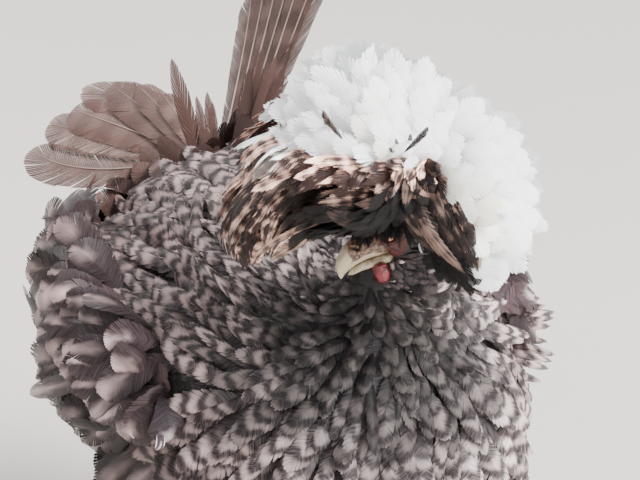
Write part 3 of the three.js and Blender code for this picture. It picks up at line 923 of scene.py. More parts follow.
tail_colours, given, result = colour_group("flight_plumage", PLUMAGE_LABELS)
wave = rippled(from_tip(given, given["Along"]), 0.017, given["Lot"], 6.0)
bar = times(ramp(varied(wave, given["Streaks"], 0.5, 1.4), -0.6, 1.0), given["Barring"])
ground = blended(given["Warmth"], colour(70, 51, 47), colour(90, 65, 59))
tint = blended(bar, ground, colour(140, 110, 102))
edge = ramp(calc("ABSOLUTE", given["Across"]), 0.75, 1.05)
tint = blended(times(edge, 0.35), tint, colour(80, 62, 58))
shade = times(calc("MULTIPLY_ADD", given["Streaks"], 0.5, 0.75), given["Lightness"])
feed(result["Color"], dimmed(tint, shade))
flight_feather = feather_material("flight_feather", tail_colours, 0.45)

quill_material, tree, shader = shaded("quill", 0.35)
grime = noise(own_place(tree), 300.0)
feed(shader.inputs["Base Color"], blended(grime, colour(120, 100, 93), colour(162, 142, 133)))


def quill_rods(name, quill, bow, tip, up, thickness):
    """The shafts of large feathers as one object, lying on their faces and thinning towards the tip."""
    steps, corners = np.linspace(0, 0.97, 12), 5
    centre, along = shaft(quill, bow, tip, np.repeat(steps[None], len(quill), axis=0))
    up = tangential(up[:, None, :], along)
    side = np.cross(along, up)
    radius = (thickness / 2 * (1 - 0.8 * steps[None]))[..., None]
    turns = np.linspace(0, 2 * math.pi, corners, endpoint=False)
    points = np.stack([centre + radius * (side * math.cos(a) + up * (math.sin(a) + 0.3)) for a in turns], 2)
    index = np.arange(len(quill) * len(steps) * corners).reshape(len(quill), len(steps), corners)
    a, b = index[:, :-1], index[:, 1:]
    next_a, next_b = np.roll(a, -1, 2), np.roll(b, -1, 2)
    faces = [np.stack(triangle, -1).reshape(-1, 3) for triangle in ((a, next_a, next_b), (a, next_b, b))]
    return added(name, mesh_from(name, points.reshape(-1, 3), np.concatenate(faces)))


def flight_group(name, spines, tones, slot, vane, *replaced, **shape):
    """Large feathers from a list of spines, with their shafts."""
    quill, bow, tip, face = (np.array([spine[k] for spine in spines]) for k in range(4))
    width = np.array([spine[4] for spine in spines])
    count = len(spines)
    piece = vanes(name, vane, quill, bow, tip, face, face, width, np.array(tones),
                  (np.arange(count) + 0.0, np.arange(count) * 7 % count + 0.0), **shape)
    finished(piece, slot, *replaced, material=flight_feather)
    rods = quill_rods(name + "_shafts", quill, bow, tip, face, SHAFT_THICKNESS)
    finished(rods, slot, material=quill_material)


tail_vane = unit_vane(70, (0.0, 0.35, 0.65, 0.95), shoulder=0.80, turn=0.74, root_width=0.3)
for half, (facing, broader, lightness) in TAIL_SIDES.items():
    names = [f"rectrix_{half}_{i}" for i in range(1, 8)]
    spines = [spine_of(name, TAIL_ROOT) for name in names]
    towards = np.array(towards_camera)
    spines = [(root, bow, tip, unit(face * np.sign(face @ towards) + facing * towards), width * broader)
              for root, bow, tip, face, width in spines]
    tones = [(rng.uniform(0.5, 1.0), rng.uniform(0.1, 0.45), lightness * rng.uniform(0.9, 1.1))
             for _ in names]
    flight_group("tail_" + half, spines, tones, "tail_feather", tail_vane, *names, ragged=0.3, loose=0.4,
                 locks=6, split=0.12, camber=0.16)


# The wings: secondaries whose tips hang side by side along the lower edge, primaries under them, and broad
# coverts above. The flights are warm dark brown with paler bars, and all lie on the outline of the wing's
# own solids.
FLIGHT_ROWS = (  # roots of the front and rear one, their tips, how many, width, how far sunk, stand out
    (((0.000, 0.160), (0.060, 0.186)), ((0.092, 0.148), (0.150, 0.194)), 7, 0.019, 0.0045, 0.002),
    (((-0.040, 0.172), (0.070, 0.196)), ((-0.008, 0.138), (0.118, 0.170)), 12, 0.022, 0.0015, 0.005))
wing_vane = unit_vane(48, (0.0, 0.4, 0.7, 0.94), shoulder=0.78, turn=0.72, root_width=0.25)
wing_nodes = [f"{part}_{side}" for side in ("right", "left") for part in ("wing", "flight")]
wing_outline = shell_of("wing_outline", wing_nodes, 0.003, 3)
wing_surface = surface_of(wing_outline.data)
bpy.data.objects.remove(wing_outline)


def on_wing(side, along, up):
    """The place and the normal on the outside of a wing, at some place along and up. Her right is side -1."""
    hit, _, index, _ = wing_surface["tree"].ray_cast(Vector((side * 0.2, along, up)), Vector((-side, 0, 0)))
    if hit is None:
        hit, _, index, _ = wing_surface["tree"].find_nearest(Vector((side * 0.06, along, up)))
    normal = wing_surface["normals"][wing_surface["triangles"][index]].mean(0)
    return np.array(hit), normal / np.linalg.norm(normal)


def wing_row(side, roots, tips, count, width, sunk, stand_out):
    """Spines of one row of flight feathers, from the front one to the rear one."""
    spines = []
    for i in range(count):
        share = i / (count - 1)
        ends = [(1 - share) * np.array(first) + share * np.array(last) for first, last in (roots, tips)]
        root, root_normal = on_wing(side, *ends[0])
        tip, tip_normal = on_wing(side, *ends[1])
        half, normal = on_wing(side, *((ends[0] + ends[1]) / 2))
        root = root - root_normal * (sunk + 0.004)
        half = half - normal * (sunk - 0.0007 * i)
        tip = tip + tip_normal * (stand_out - sunk) + rng.normal(0, 0.0016, 3)
        spines.append((root, 2 * half - (root + tip) / 2, tip, normal + rng.normal(0, 0.06, 3), width))
    return spines


for name, side in (("right", -1), ("left", 1)):
    spines = [spine for row in FLIGHT_ROWS for spine in wing_row(side, *row)]
    tones = [(rng.uniform(0.4, 1.0), rng.uniform(0.5, 0.95), rng.uniform(0.7, 0.95)) for _ in spines]
    flight_group("wing_flights_" + name, spines, tones, "wing_feather", wing_vane, "flight_" + name,
                 ragged=1.0, loose=0.8, locks=4, split=0.35, camber=0.2)

# Large feathers are smoother than the rest: dark margins, a pale middle whose size differs, and only a hint
# of bars. The pale middle is partly their colour and partly a painted highlight, and the dark margins partly
# painted shade between them. With full bars they have a white rim. The wing coverts overlap like tiles from
# the shoulder backwards.
smooth_plumage, given, result = colour_group("smooth_plumage", PLUMAGE_LABELS)
across = calc("ABSOLUTE", given["Across"])
blotch = blotches(given, 2.4, 1.2, 2.0)
middle = ramp(varied(across, blotch, 0.5, 1.5), 0.58, 0.0)
outer = ramp(varied(given["Along"], blotch, 0.5, 0.7), 0.46, 0.88)
wave = rippled(from_tip(given, given["Along"]), 0.015, given["Lot"], 9.0)
bars = calc("MULTIPLY_ADD", times(wave, given["Barring"]), 0.35, 0.65)
# The pale middle (lit) is partly a painted highlight; the dark round it is partly painted shade.
lit = times(times(middle, outer), bars)
rim = times(ramp(across, 0.72, 0.86), ramp(given["Barring"], 0.95, 1.0))
dark = blended(given["Warmth"], colour(40, 32, 38), colour(48, 31, 33))
pale = blended(given["Warmth"], colour(224, 207, 210), colour(214, 182, 178))
tint = lighter_barbs(blended(calc("MAXIMUM", lit, rim), dark, pale), given["Streaks"], 0.15)
shade = times(given["Lightness"], calc("MULTIPLY_ADD", given["Lot"], 0.7, 0.65))
feed(result["Color"], dimmed(tint, shade))
large_feather = feather_material("large_feather", smooth_plumage, 0.45, relief=0.4)
SHADOW_SEEN, SHADOW_REACH = (100, 425), 0.040  # painted shadow on the coverts low on the rear of the wing
COVERT_ROOT = 0.009  # below the wing's outline
covert_vane = unit_vane(30, (0.0, 0.4, 0.7, 0.94), shoulder=0.72, turn=0.6)
roots, normals = scattered(
    wing_surface,
    lambda centre, normal: (normal[:, 0] * np.sign(centre[:, 0]) > -0.1) & (centre[:, 1] < 0.085)
    & (centre[:, 2] > 0.150 + 0.10 * centre[:, 1]),
    lambda p: 0.0080 + 0.002 * smooth(p[:, 1], -0.08, 0.04))
lie = tangential(unit(roots - THROAT) + 0.5 * np.array((0, 1, -0.35)), normals)
count = len(roots)
rear = smooth(roots[:, 1], -0.08, 0.04)
tones = plumage_tone(roots) * rng.uniform((0.8, 0.2, 1.0), (1.3, 0.9, 2.2), (count, 3))
shadow = nearness(roots, seen(wing_surface, *SHADOW_SEEN), SHADOW_REACH)
tones = tones * (1 - 0.5 * shadow[:, None] * (0, 0, 1))
for name, side in (("right", -1), ("left", 1)):
    chosen = roots[:, 0] * side > 0
    coat = laid("coat_wing_" + name, covert_vane, (roots - normals * COVERT_ROOT)[chosen], normals[chosen],
                lie[chosen], ((0.036 + 0.010 * rear) * rng.uniform(0.85, 1.15, count))[chosen],
                ((0.0150 + 0.004 * rear) * rng.uniform(0.8, 1.2, count))[chosen],
                (rng.uniform(0.001, 0.0075, count))[chosen], tones[chosen], lift=22, spread=17, twist=0.35,
                surface=wing_surface, locks=5, ragged=0.8, split=0.3, camber=0.3)
    finished(coat, "wing_feather", material=large_feather)


# Single feathers: scapulars and coverts along the right wing's rear edge and low on it, plumes that hang
# from the flank, tufts on her left side and the breast, and coverts round the root of the tail. Each root
# and tip is named by where it shows in the view, and the root sits in the wing or the skin.
RAY_FROM, RAY_TO, RAY_STEP = 1.15, 1.60, 0.004  # distances from the camera that are tried
QUILL_DEPTH = 0.004
# In this table, lightness is partly painted shade: the rows low at the rear of the wing are darker for the
# shade under it.
WING_FEATHERS = (  # root across and down, tip across and down, width, warmth, barring, lightness, stand out
    (108, 226, 40, 236, 0.024, 0.9, 0.7, 0.95, 0.004), (104, 240, 42, 250, 0.022, 0.8, 0.9, 1.10, 0.006),
    (100, 252, 58, 268, 0.022, 1.0, 0.5, 0.90, 0.004), (112, 214, 62, 218, 0.018, 0.8, 0.8, 1.00, 0.004),
    (98, 268, 47, 290, 0.023, 1.0, 0.3, 1.25, 0.003), (96, 282, 42, 302, 0.022, 0.9, 0.8, 0.95, 0.005),
    (98, 296, 34, 318, 0.022, 0.9, 0.9, 0.90, 0.006), (104, 308, 50, 334, 0.020, 0.8, 0.9, 1.20, 0.005),
    (104, 330, 42, 345, 0.018, 0.7, 0.8, 0.95, 0.003), (110, 352, 30, 366, 0.011, 0.9, 0.3, 0.60, 0.004),
    (112, 362, 28, 379, 0.010, 0.9, 0.3, 0.55, 0.003), (114, 370, 34, 392, 0.010, 0.9, 0.3, 0.60, 0.002),
    (118, 376, 45, 401, 0.010, 0.9, 0.3, 0.55, 0.001), (122, 382, 56, 409, 0.010, 0.9, 0.3, 0.55, 0.001),
    (126, 344, 72, 352, 0.015, 0.3, 1.0, 1.30, 0.008), (124, 352, 76, 368, 0.016, 0.3, 1.0, 1.40, 0.007),
    (136, 312, 108, 318, 0.012, 0.2, 1.0, 1.30, 0.007), (150, 352, 100, 366, 0.022, 0.8, 0.8, 1.15, 0.007),
    (168, 372, 88, 378, 0.024, 1.0, 0.5, 1.55, 0.009), (170, 384, 90, 396, 0.025, 1.0, 0.3, 1.35, 0.008),
    (172, 396, 104, 412, 0.024, 1.0, 0.3, 1.05, 0.006), (160, 412, 122, 428, 0.022, 0.8, 0.5, 0.90, 0.005),
    (186, 408, 160, 436, 0.017, 0.1, 0.4, 1.00, 0.006), (164, 428, 150, 437, 0.004, 0.0, 1.0, 1.50, 0.007),
    (150, 430, 118, 452, 0.022, 0.9, 0.3, 0.70, 0.004), (134, 420, 92, 440, 0.020, 0.9, 0.3, 0.50, 0.003),
    (120, 402, 72, 424, 0.018, 0.9, 0.3, 0.50, 0.002))
# Their lightness is partly painted shade: lowest on the plumes that reach to the lower left, under the wing.
FLANK_PLUMES = (
    (262, 398, 196, 462, 0.022, 0.5, 0.3, 0.85, 0.006), (286, 400, 226, 470, 0.022, 0.4, 0.3, 0.95, 0.006),
    (306, 408, 258, 486, 0.021, 0.4, 0.3, 0.85, 0.005), (240, 396, 172, 452, 0.021, 0.6, 0.3, 0.65, 0.005),
    (220, 398, 148, 456, 0.020, 0.7, 0.3, 0.50, 0.004), (204, 402, 126, 464, 0.020, 0.7, 0.3, 0.45, 0.004),
    (188, 408, 108, 462, 0.020, 0.7, 0.3, 0.45, 0.004), (176, 416, 101, 468, 0.020, 0.7, 0.3, 0.45, 0.004),
    (172, 432, 98, 492, 0.020, 0.7, 0.3, 0.45, 0.004), (196, 430, 120, 496, 0.020, 0.6, 0.3, 0.55, 0.004),
    (228, 428, 160, 500, 0.021, 0.5, 0.3, 0.70, 0.005), (256, 432, 200, 506, 0.021, 0.4, 0.3, 0.90, 0.005),
    (240, 440, 180, 506, 0.021, 0.5, 0.3, 0.80, 0.005), (184, 412, 104, 464, 0.020, 0.7, 0.3, 0.40, 0.003),
    (176, 424, 99, 480, 0.020, 0.7, 0.3, 0.40, 0.003), (180, 420, 103, 474, 0.020, 0.7, 0.3, 0.45, 0.002),
    (168, 424, 101, 486, 0.020, 0.7, 0.3, 0.40, 0.002))
SIDE_TUFTS = (
    (510, 318, 554, 312, 0.0045, 0.4, 1.0, 1.30, 0.002), (508, 320, 553, 318, 0.0040, 0.5, 0.9, 1.00, 0.002),
    (508, 326, 549, 326, 0.0045, 0.5, 0.9, 0.70, 0.002), (510, 314, 545, 305, 0.0040, 0.5, 0.9, 0.80, 0.001),
    (512, 344, 552, 354, 0.0045, 0.4, 1.0, 1.20, 0.002), (510, 348, 549, 361, 0.0040, 0.4, 1.0, 0.90, 0.002),
    (508, 352, 546, 369, 0.0045, 0.5, 0.9, 1.20, 0.002), (510, 336, 546, 342, 0.0045, 0.5, 0.8, 0.70, 0.001),
    (478, 430, 496, 462, 0.0120, 0.1, 0.9, 0.85, 0.010), (486, 436, 506, 470, 0.0120, 0.1, 0.9, 0.80, 0.010),
    (472, 440, 489, 476, 0.0120, 0.1, 0.9, 0.90, 0.010),
    (506, 306, 538, 298, 0.0045, 0.5, 0.8, 0.80, 0.001), (506, 364, 540, 382, 0.0045, 0.5, 0.8, 0.90, 0.001))
TAIL_COVERTS = (
    (200, 168, 172, 61, 0.0085, 0.3, 0.0, 1.23, 0.002), (212, 166, 208, 94, 0.0055, 0.3, 0.0, 1.23, 0.002),
    (210, 168, 197, 98, 0.0050, 0.3, 0.0, 1.14, 0.002), (214, 168, 213, 104, 0.0045, 0.3, 0.1, 0.95, 0.002),
    (238, 170, 262, 52, 0.0075, 0.3, 0.0, 0.95, 0.002), (242, 170, 276, 58, 0.0075, 0.3, 0.0, 1.23, 0.002),
    (236, 170, 250, 70, 0.0070, 0.3, 0.0, 0.76, 0.002), (240, 168, 268, 78, 0.0070, 0.2, 0.0, 0.66, 0.003),
    (244, 168, 286, 66, 0.0070, 0.3, 0.0, 1.14, 0.001), (240, 172, 256, 96, 0.0080, 0.2, 0.0, 0.57, 0.004),
    (232, 174, 240, 112, 0.0100, 0.1, 0.0, 0.38, 0.004), (238, 174, 248, 116, 0.0100, 0.1, 0.0, 0.38, 0.005),
    (228, 176, 226, 128, 0.0110, 0.1, 0.0, 0.33, 0.005), (236, 176, 236, 130, 0.0110, 0.1, 0.0, 0.33, 0.006),
    (222, 176, 214, 142, 0.0120, 0.1, 0.1, 0.38, 0.004), (212, 178, 200, 148, 0.0120, 0.2, 0.2, 0.57, 0.004),
    (206, 180, 186, 150, 0.0130, 0.3, 0.5, 0.71, 0.004), (196, 186, 168, 158, 0.0140, 0.3, 0.5, 0.66, 0.004),
    (186, 192, 154, 164, 0.0150, 0.3, 0.6, 0.81, 0.004), (170, 196, 136, 168, 0.0150, 0.3, 0.5, 0.62, 0.004),
    (160, 204, 122, 176, 0.0150, 0.3, 0.6, 0.71, 0.004), (148, 212, 110, 184, 0.0150, 0.3, 0.5, 0.66, 0.004),
    (140, 222, 98, 198, 0.0150, 0.3, 0.6, 0.76, 0.003), (190, 178, 160, 138, 0.0120, 0.3, 0.1, 0.90, 0.002),
    (176, 184, 140, 148, 0.0120, 0.3, 0.1, 0.85, 0.002), (150, 200, 92, 186, 0.0060, 0.3, 0.0, 0.76, 0.002),
    (156, 196, 104, 190, 0.0060, 0.3, 0.0, 0.85, 0.002))


def on_ray(surface, across, down):
    """The point that shows at a pixel of the view and comes nearest to a surface."""
    ray = view_ray(across, down)
    places = [camera.location + ray * far for far in np.arange(RAY_FROM, RAY_TO, RAY_STEP)]
    gaps = [surface["tree"].find_nearest(place)[3] for place in places]
    return np.array(places[int(np.argmin(gaps))])


def placed_feathers(name, surface, table, slot, vane, material, forwards=0.0, **shape):
    """Feathers from a table. Each root sits in the surface, and each tip shows where its row says."""
    table = np.array(table)
    roots, normals = nearest_on(surface, [on_ray(surface, *row[:2]) for row in table])
    up = unit(0.6 * normals + np.array(towards_camera))
    stand_out = table[:, 8:9] + forwards
    tips = np.array([on_ray(surface, *row[2:4]) for row in table]) + up * stand_out
    quills = roots - normals * QUILL_DEPTH
    bows = (quills + tips) / 2 + up * (0.003 + stand_out)
    feathers = vanes(name, vane, quills, bows, tips, up, up, table[:, 4], table[:, 5:8],
                     (table[:, 0] + 0.01 * table[:, 1], table[:, 1]), split=0.15, **shape)
    finished(feathers, slot, material=material)


pointed_vane = unit_vane(20, (0.0, 0.5, 0.92), shoulder=0.55, turn=0.5, root_width=0.2, point_power=1.3)
placed_feathers("wing_right_large", wing_surface, WING_FEATHERS, "wing_feather", covert_vane, large_feather,
                forwards=0.004, camber=0.35, ragged=0.35, loose=0.4, locks=5)
placed_feathers("coat_plumes", skin_surface, FLANK_PLUMES, "body_feather", covert_vane, large_feather,
                camber=0.3, ragged=0.1, loose=0.1, locks=5)
placed_feathers("coat_tufts", skin_surface, SIDE_TUFTS, "body_feather", pointed_vane, body_feather,
                camber=0.3, ragged=1.2, locks=3)
placed_feathers("tail_coverts", skin_surface, TAIL_COVERTS, "tail_feather", pointed_vane, flight_feather,
                camber=0.12, ragged=0.5, loose=0.5, locks=4)


# The crest: long soft feathers that all grow from the knob on her skull and open like a chrysanthemum. They
# part on each side above the eye and are white, but brown, tan and black over the bill and the face, where
# they hang down. The brown is lighter on top with painted light and darker beneath with painted shade.
PARTING = (-0.005, 0.052, 0.038)  # in the head's frame, on her left; her right side mirrors it
BORDER_X = (-0.020, -0.005, 0.017, 0.036, 0.052)  # brown lies below this line and in front of its first point
BORDER_Z = (0.020, 0.025, 0.032, 0.035, 0.046)
BORDER_SLOPE = 0.32  # the line rises towards the outside
FRINGE_X = (0.020, 0.036, 0.052, 0.064, 0.074)
FRINGE_FALL = (20, 8, -25, -60, -85)  # degrees: which way the feathers over the bill point

crest_outline = shell_of("crest_outline", ("crest_crown", "crest_fringe"), 0.0025, 4)
local = in_head(points_of(crest_outline.data))
flat = smooth(local[:, 0], 0.010, 0.035) * smooth(local[:, 2], 0.045, 0.062)
place(crest_outline.data, from_head(local - flat[:, None] * (0.003, 0, 0.007)))
crest_surface = surface_of(crest_outline.data)
bpy.data.objects.remove(crest_outline)
to_her_left = HEAD_AXES[:, 1]


def crest_lie(points, normals):
    """Which way the crest's feathers point at places on its outline, and how near these are to its rim."""
    local, face_out = in_head(points), normals @ HEAD_AXES
    side = np.where(local[:, 1] < 0, -1, 1)
    parting = np.stack([np.abs(side), side, np.abs(side)], -1) * PARTING
    slope = np.radians(np.interp(local[:, 0], FRINGE_X, FRINGE_FALL))
    forwards = np.stack([np.cos(slope), 0 * slope, np.sin(slope)], -1)
    over_bill = smooth(local[:, 0], 0.014, 0.034)[:, None] * (1 - smooth(local[:, 2], 0.045, 0.062))[:, None]
    flow = tangential(unit(local - parting) * (1 - over_bill) + forwards * over_bill, face_out)
    rim = (1 - np.abs(face_out[:, 1])) * (1 - over_bill[:, 0])
    return flow @ HEAD_AXES.T, rim ** 2, side


def brown_share(points):
    """1 where the crest is brown and 0 where it is white."""
    local = in_head(points)
    height = local[:, 2] - BORDER_SLOPE * np.abs(local[:, 1])
    below = 1 - smooth(height - np.interp(local[:, 0], BORDER_X, BORDER_Z), -0.005, 0.004)
    return below * smooth(local[:, 0], BORDER_X[0] - 0.003, BORDER_X[0] + 0.003)


# The crest group colours its feathers: white, stained a little towards the root and with a faint painted cool
# shade between the barbs, or brown with a dark middle, tan edges and soft paler bars.
crest_colours, given, result = colour_group(
    "crest_plumage", ("Along", "Across", "Length", "Lot", "Streaks", "Brown", "Darkness", "Lightness"))
# A faint painted cool shade between the barbs.
white = blended(given["Streaks"], colour(248, 250, 253), colour(255, 255, 255))
white = blended(given["Darkness"], white, colour(236, 222, 164))
stained = blended(times(ramp(given["Along"], 0.75, 0.25), 0.35), white, colour(206, 200, 186))
wave = rippled(times(given["Along"], given["Length"]), 0.011, given["Lot"], 9.0)
edge = times(calc("ABSOLUTE", given["Across"]), 0.30)
lit = calc("MULTIPLY_ADD", wave, 0.18, varied(edge, blotches(given, 2.5, 3.0, 3.0), 0.5, 1.7))
lit = varied(varied(lit, given["Streaks"], 0.4, 0.5), given["Lot"], 0.5, 0.8)
lit = times(ramp(lit, -0.05, 0.8), calc("SUBTRACT", 1.0, given["Darkness"]))
brown = blended(lit, colour(38, 25, 23), colour(240, 196, 176))
brown = dimmed(brown, calc("MULTIPLY_ADD", given["Darkness"], -0.82, 1.0))
shade = times(given["Lightness"], calc("MULTIPLY_ADD", given["Lot"], 0.08, 0.94))
feed(result["Color"], dimmed(blended(given["Brown"], stained, brown), shade))
crest_feather = feather_material("crest_feather", crest_colours, 0.6, ("Brown", "Darkness", "Lightness"))

crest_vane = unit_vane(26, (0.0, 0.45, 0.9), shoulder=0.72, turn=0.64, root_width=0.25, point_power=1.15)
STAIN_SEEN, STAIN_REACH = (490, 208), 0.012  # a faintly yellow place
FROST_SEEN, FROST_REACH = (262, 156), 0.013  # grey-white ones, where white meets brown over the nape
CREST_WIDTHS = (0.0120, 0.0170)
LAYERS = ((1.0, 0.0072), (0.84, 0.0092), (0.68, 0.0092))  # how far out the tips reach, and their distance
SPOTTED_SHARE = 0.003
stain = seen(crest_surface, *STAIN_SEEN)
frost = seen(crest_surface, *FROST_SEEN)
quills, bows, tips, first_ups, last_ups, widths, tones, maps = ([] for _ in range(8))
for depth, apart in LAYERS:
    aims, outwards = scattered(crest_surface, lambda centre, normal: centre[:, 2] > 0,
                               lambda p: apart * (1 - 0.3 * brown_share(p)))
    flow, rim, side = crest_lie(aims, outwards)
    knob = from_head([KNOB_PLACE])
    brown = brown_share(aims)
    aims = knob + (aims - knob) * (depth * rng.uniform(0.95, 1.05, len(aims)))[:, None]
    out = unit(in_head(aims) - KNOB_PLACE)
    root = from_head(KNOB_PLACE + out * KNOB_SIZE)
    flow = turned(flow, outwards, np.radians(rng.normal(0, 13, len(aims))))
    end = unit(flow * (0.9 - 0.55 * rim)[:, None] + outwards * (0.28 + 0.6 * rim)[:, None])
    reach = np.linalg.norm(aims - root, axis=1)
    quills.append(root)
    bows.append(aims - end * (0.52 * reach)[:, None])
    tips.append(aims + end * (0.004 * rim)[:, None])
    facing = outwards * (1 - rim)[:, None] + to_her_left * (side * (0.2 + rim))[:, None]
    first_ups.append(unit(facing + rng.normal(0, 0.2, (len(aims), 3))))
    last_ups.append(unit(facing + rng.normal(0, 0.25, (len(aims), 3))))
    widths.append(rng.uniform(*CREST_WIDTHS, len(aims)))
    spotted = rng.random(len(aims)) < SPOTTED_SHARE
    is_brown = (brown + rng.uniform(-0.25, 0.25, len(aims)) > 0.5) | spotted
    local = in_head(aims)
    below = np.interp(local[:, 0], BORDER_X, BORDER_Z) - local[:, 2] + BORDER_SLOPE * np.abs(local[:, 1])
    # How far a brown feather lies below the border: its darkness there is partly its own dark brown and
    # partly painted shade on the underside, and the top of the band is lighter with painted light.
    deep = smooth(below, 0.011, 0.026) * (1 - 0.75 * smooth(local[:, 0], 0.046, 0.060))
    frosted = is_brown * nearness(tips[-1], frost, FROST_REACH)
    patches = 0.15 * np.sin(local @ (310, 190, 90)) + 0.15 * np.sin(local @ (-120, 240, 380) + 1.0)
    darkest = np.clip(deep + patches + 0.6 * spotted + rng.normal(0, 0.1, len(aims)), 0.0, 0.95)
    stained = 0.4 * nearness(tips[-1], stain, STAIN_REACH) + 0.25 * (rng.random(len(aims)) < 0.05)
    darkness = np.where(is_brown, darkest, stained)
    widths[-1] = widths[-1] * np.where(is_brown, 0.50, 1.0)
    # Painted light on the top of the brown band and painted shade beneath it, with the grey-white ones
    # lighter.
    lightness = np.where(is_brown, 2.10 - 1.94 * deep + 0.6 * frosted, 1.0)
    shown_brown = is_brown - 0.7 * frosted * (rng.random(len(aims)) < 0.8)
    tones.append(np.stack([shown_brown, darkness, lightness], -1))
    maps.append(np.stack([np.arctan2(out[:, 0], out[:, 2]), out[:, 1] + rng.uniform(0, 0.01, len(aims))]))
quills, bows, tips, first_ups, last_ups, widths, tones = (
    np.concatenate(a) for a in (quills, bows, tips, first_ups, last_ups, widths, tones))
maps = np.concatenate(maps, axis=1)
left = in_head(tips)[:, 1] >= 0
for name, chosen, replaced in (
        ("crest_white_left", (tones[:, 0] == 0) & left, ("crest_crown",)),
        ("crest_white_right", (tones[:, 0] == 0) & ~left, ()),
        ("crest_brown_left", (tones[:, 0] > 0) & left, ("crest_fringe",)),
        ("crest_brown_right", (tones[:, 0] > 0) & ~left, ())):
    traits = (values[chosen] for values in (quills, bows, tips, first_ups, last_ups, widths, tones))
    piece = vanes(name, crest_vane, *traits, maps[:, chosen], camber=0.3, ragged=0.9, loose=0.8, locks=4,
                  split=0.2)
    finished(piece, "crest_white" if "white" in name else "crest_brown", *replaced, material=crest_feather)


# A dark lock hangs from the parting over her cheek like a leaf, with cream edges, and short feathers ring
# the parting above it. More short dark feathers droop from the brow over the eyes, their dark brown partly
# painted shade. All shade the face.
LOCK_ROOT, LOCK_TIP = (-0.008, 0.031, 0.026), (-0.017, 0.041, -0.014)
LOCK_BULGE = (-0.009, 0.051, 0.014)
LOCK_FEATHERS, LOCK_BREADTH = 36, 0.013
LOCK_WIDTHS = (0.0055, 0.0085)
PARTING_FEATHERS, PARTING_DEPTH = 16, 0.016
PARTING_TURNS, PARTING_LENGTHS, PARTING_WIDTHS = (1.15, 1.85), (0.009, 0.014), (0.005, 0.008)  # turns by pi
BROW = ((-0.010, 0.016), (0.017, 0.008))  # along and up, at the rear and at the front
BROW_TIPS = ((-0.016, -0.011), (0.026, 0.006))
BROW_FEATHERS, BROW_WIDTHS = 110, (0.003, 0.0052)

lock_vane = unit_vane(18, (0.0, 0.45, 0.88), shoulder=0.55, turn=0.5, root_width=0.3, point_power=1.3)
quills, bows, tips, faces, widths, tones = ([] for _ in range(6))
for side in (1, -1):
    mirrored = np.array((1, side, 1))
    for _ in range(PARTING_FEATHERS):
        turn = rng.uniform(*PARTING_TURNS) * math.pi
        around = np.array((math.cos(turn), 0.15, math.sin(turn)))
        quills.append((np.array(PARTING) - (0, PARTING_DEPTH, 0) + 0.003 * around) * mirrored)
        bows.append((np.array(PARTING) + (0, 0.001, 0) + 0.006 * around) * mirrored)
        tips.append((np.array(PARTING) - (0, 0.001, 0) + rng.uniform(*PARTING_LENGTHS) * around) * mirrored)
        faces.append(np.array((0.2, 1, 0.2)) * mirrored)
        widths.append(rng.uniform(*PARTING_WIDTHS))
        tones.append((1.0, rng.uniform(0.4, 1.0), 0.5))
    for _ in range(LOCK_FEATHERS):
        across = rng.uniform(-1, 1)
        away = np.array((across * LOCK_BREADTH, rng.uniform(-0.004, 0.004), rng.normal(0, 0.004)))
        quills.append((LOCK_ROOT + 0.6 * away) * mirrored)
        bows.append((LOCK_BULGE + 1.3 * away) * mirrored)
        tips.append((LOCK_TIP + np.array((0.35 * away[0], away[1], rng.uniform(-0.002, 0.012)))) * mirrored)
        faces.append(np.array((0.35 * across, 1, 0.15)) * mirrored)
        widths.append(rng.uniform(*LOCK_WIDTHS))
        tones.append((1.0, rng.uniform(0.0, 0.3) if across < -0.6 else rng.uniform(0.5, 0.85), 0.8))
    for _ in range(BROW_FEATHERS):
        share, layer = rng.random(), rng.random()
        root, tip = ((1 - share) * np.array(rear) + share * np.array(front)
                     for rear, front in (BROW, BROW_TIPS))
        quills.append(np.array((root[0], 0.008 + 0.003 * layer, root[1] + 0.004 * layer)) * mirrored)
        bows.append(np.array(((root[0] + tip[0]) / 2, 0.021 + 0.006 * layer, root[1] + 0.004)) * mirrored)
        drop = rng.uniform(-0.002, 0.016)
        aside = rng.normal(0, 0.003)
        tips.append(np.array((tip[0] + aside, 0.021 + 0.010 * layer, tip[1] + drop)) * mirrored)
        faces.append(np.array((0.2, 1, 0.5)) * mirrored)
        widths.append(rng.uniform(*BROW_WIDTHS))
        # Dark brown, partly painted shade over the face.
        tones.append((1.0, rng.uniform(0.8, 1.0), 0.45))
quills, bows, tips = (from_head(a) for a in (quills, bows, tips))
faces = unit(np.array(faces) @ HEAD_AXES.T)
lock = vanes("crest_locks", lock_vane, quills, bows, tips, faces, faces, np.array(widths), np.array(tones),
             (in_head(tips)[:, 0], in_head(tips)[:, 1]), camber=0.35, locks=3, ragged=0.9, split=0.15)
finished(lock, "crest_brown", material=crest_feather)


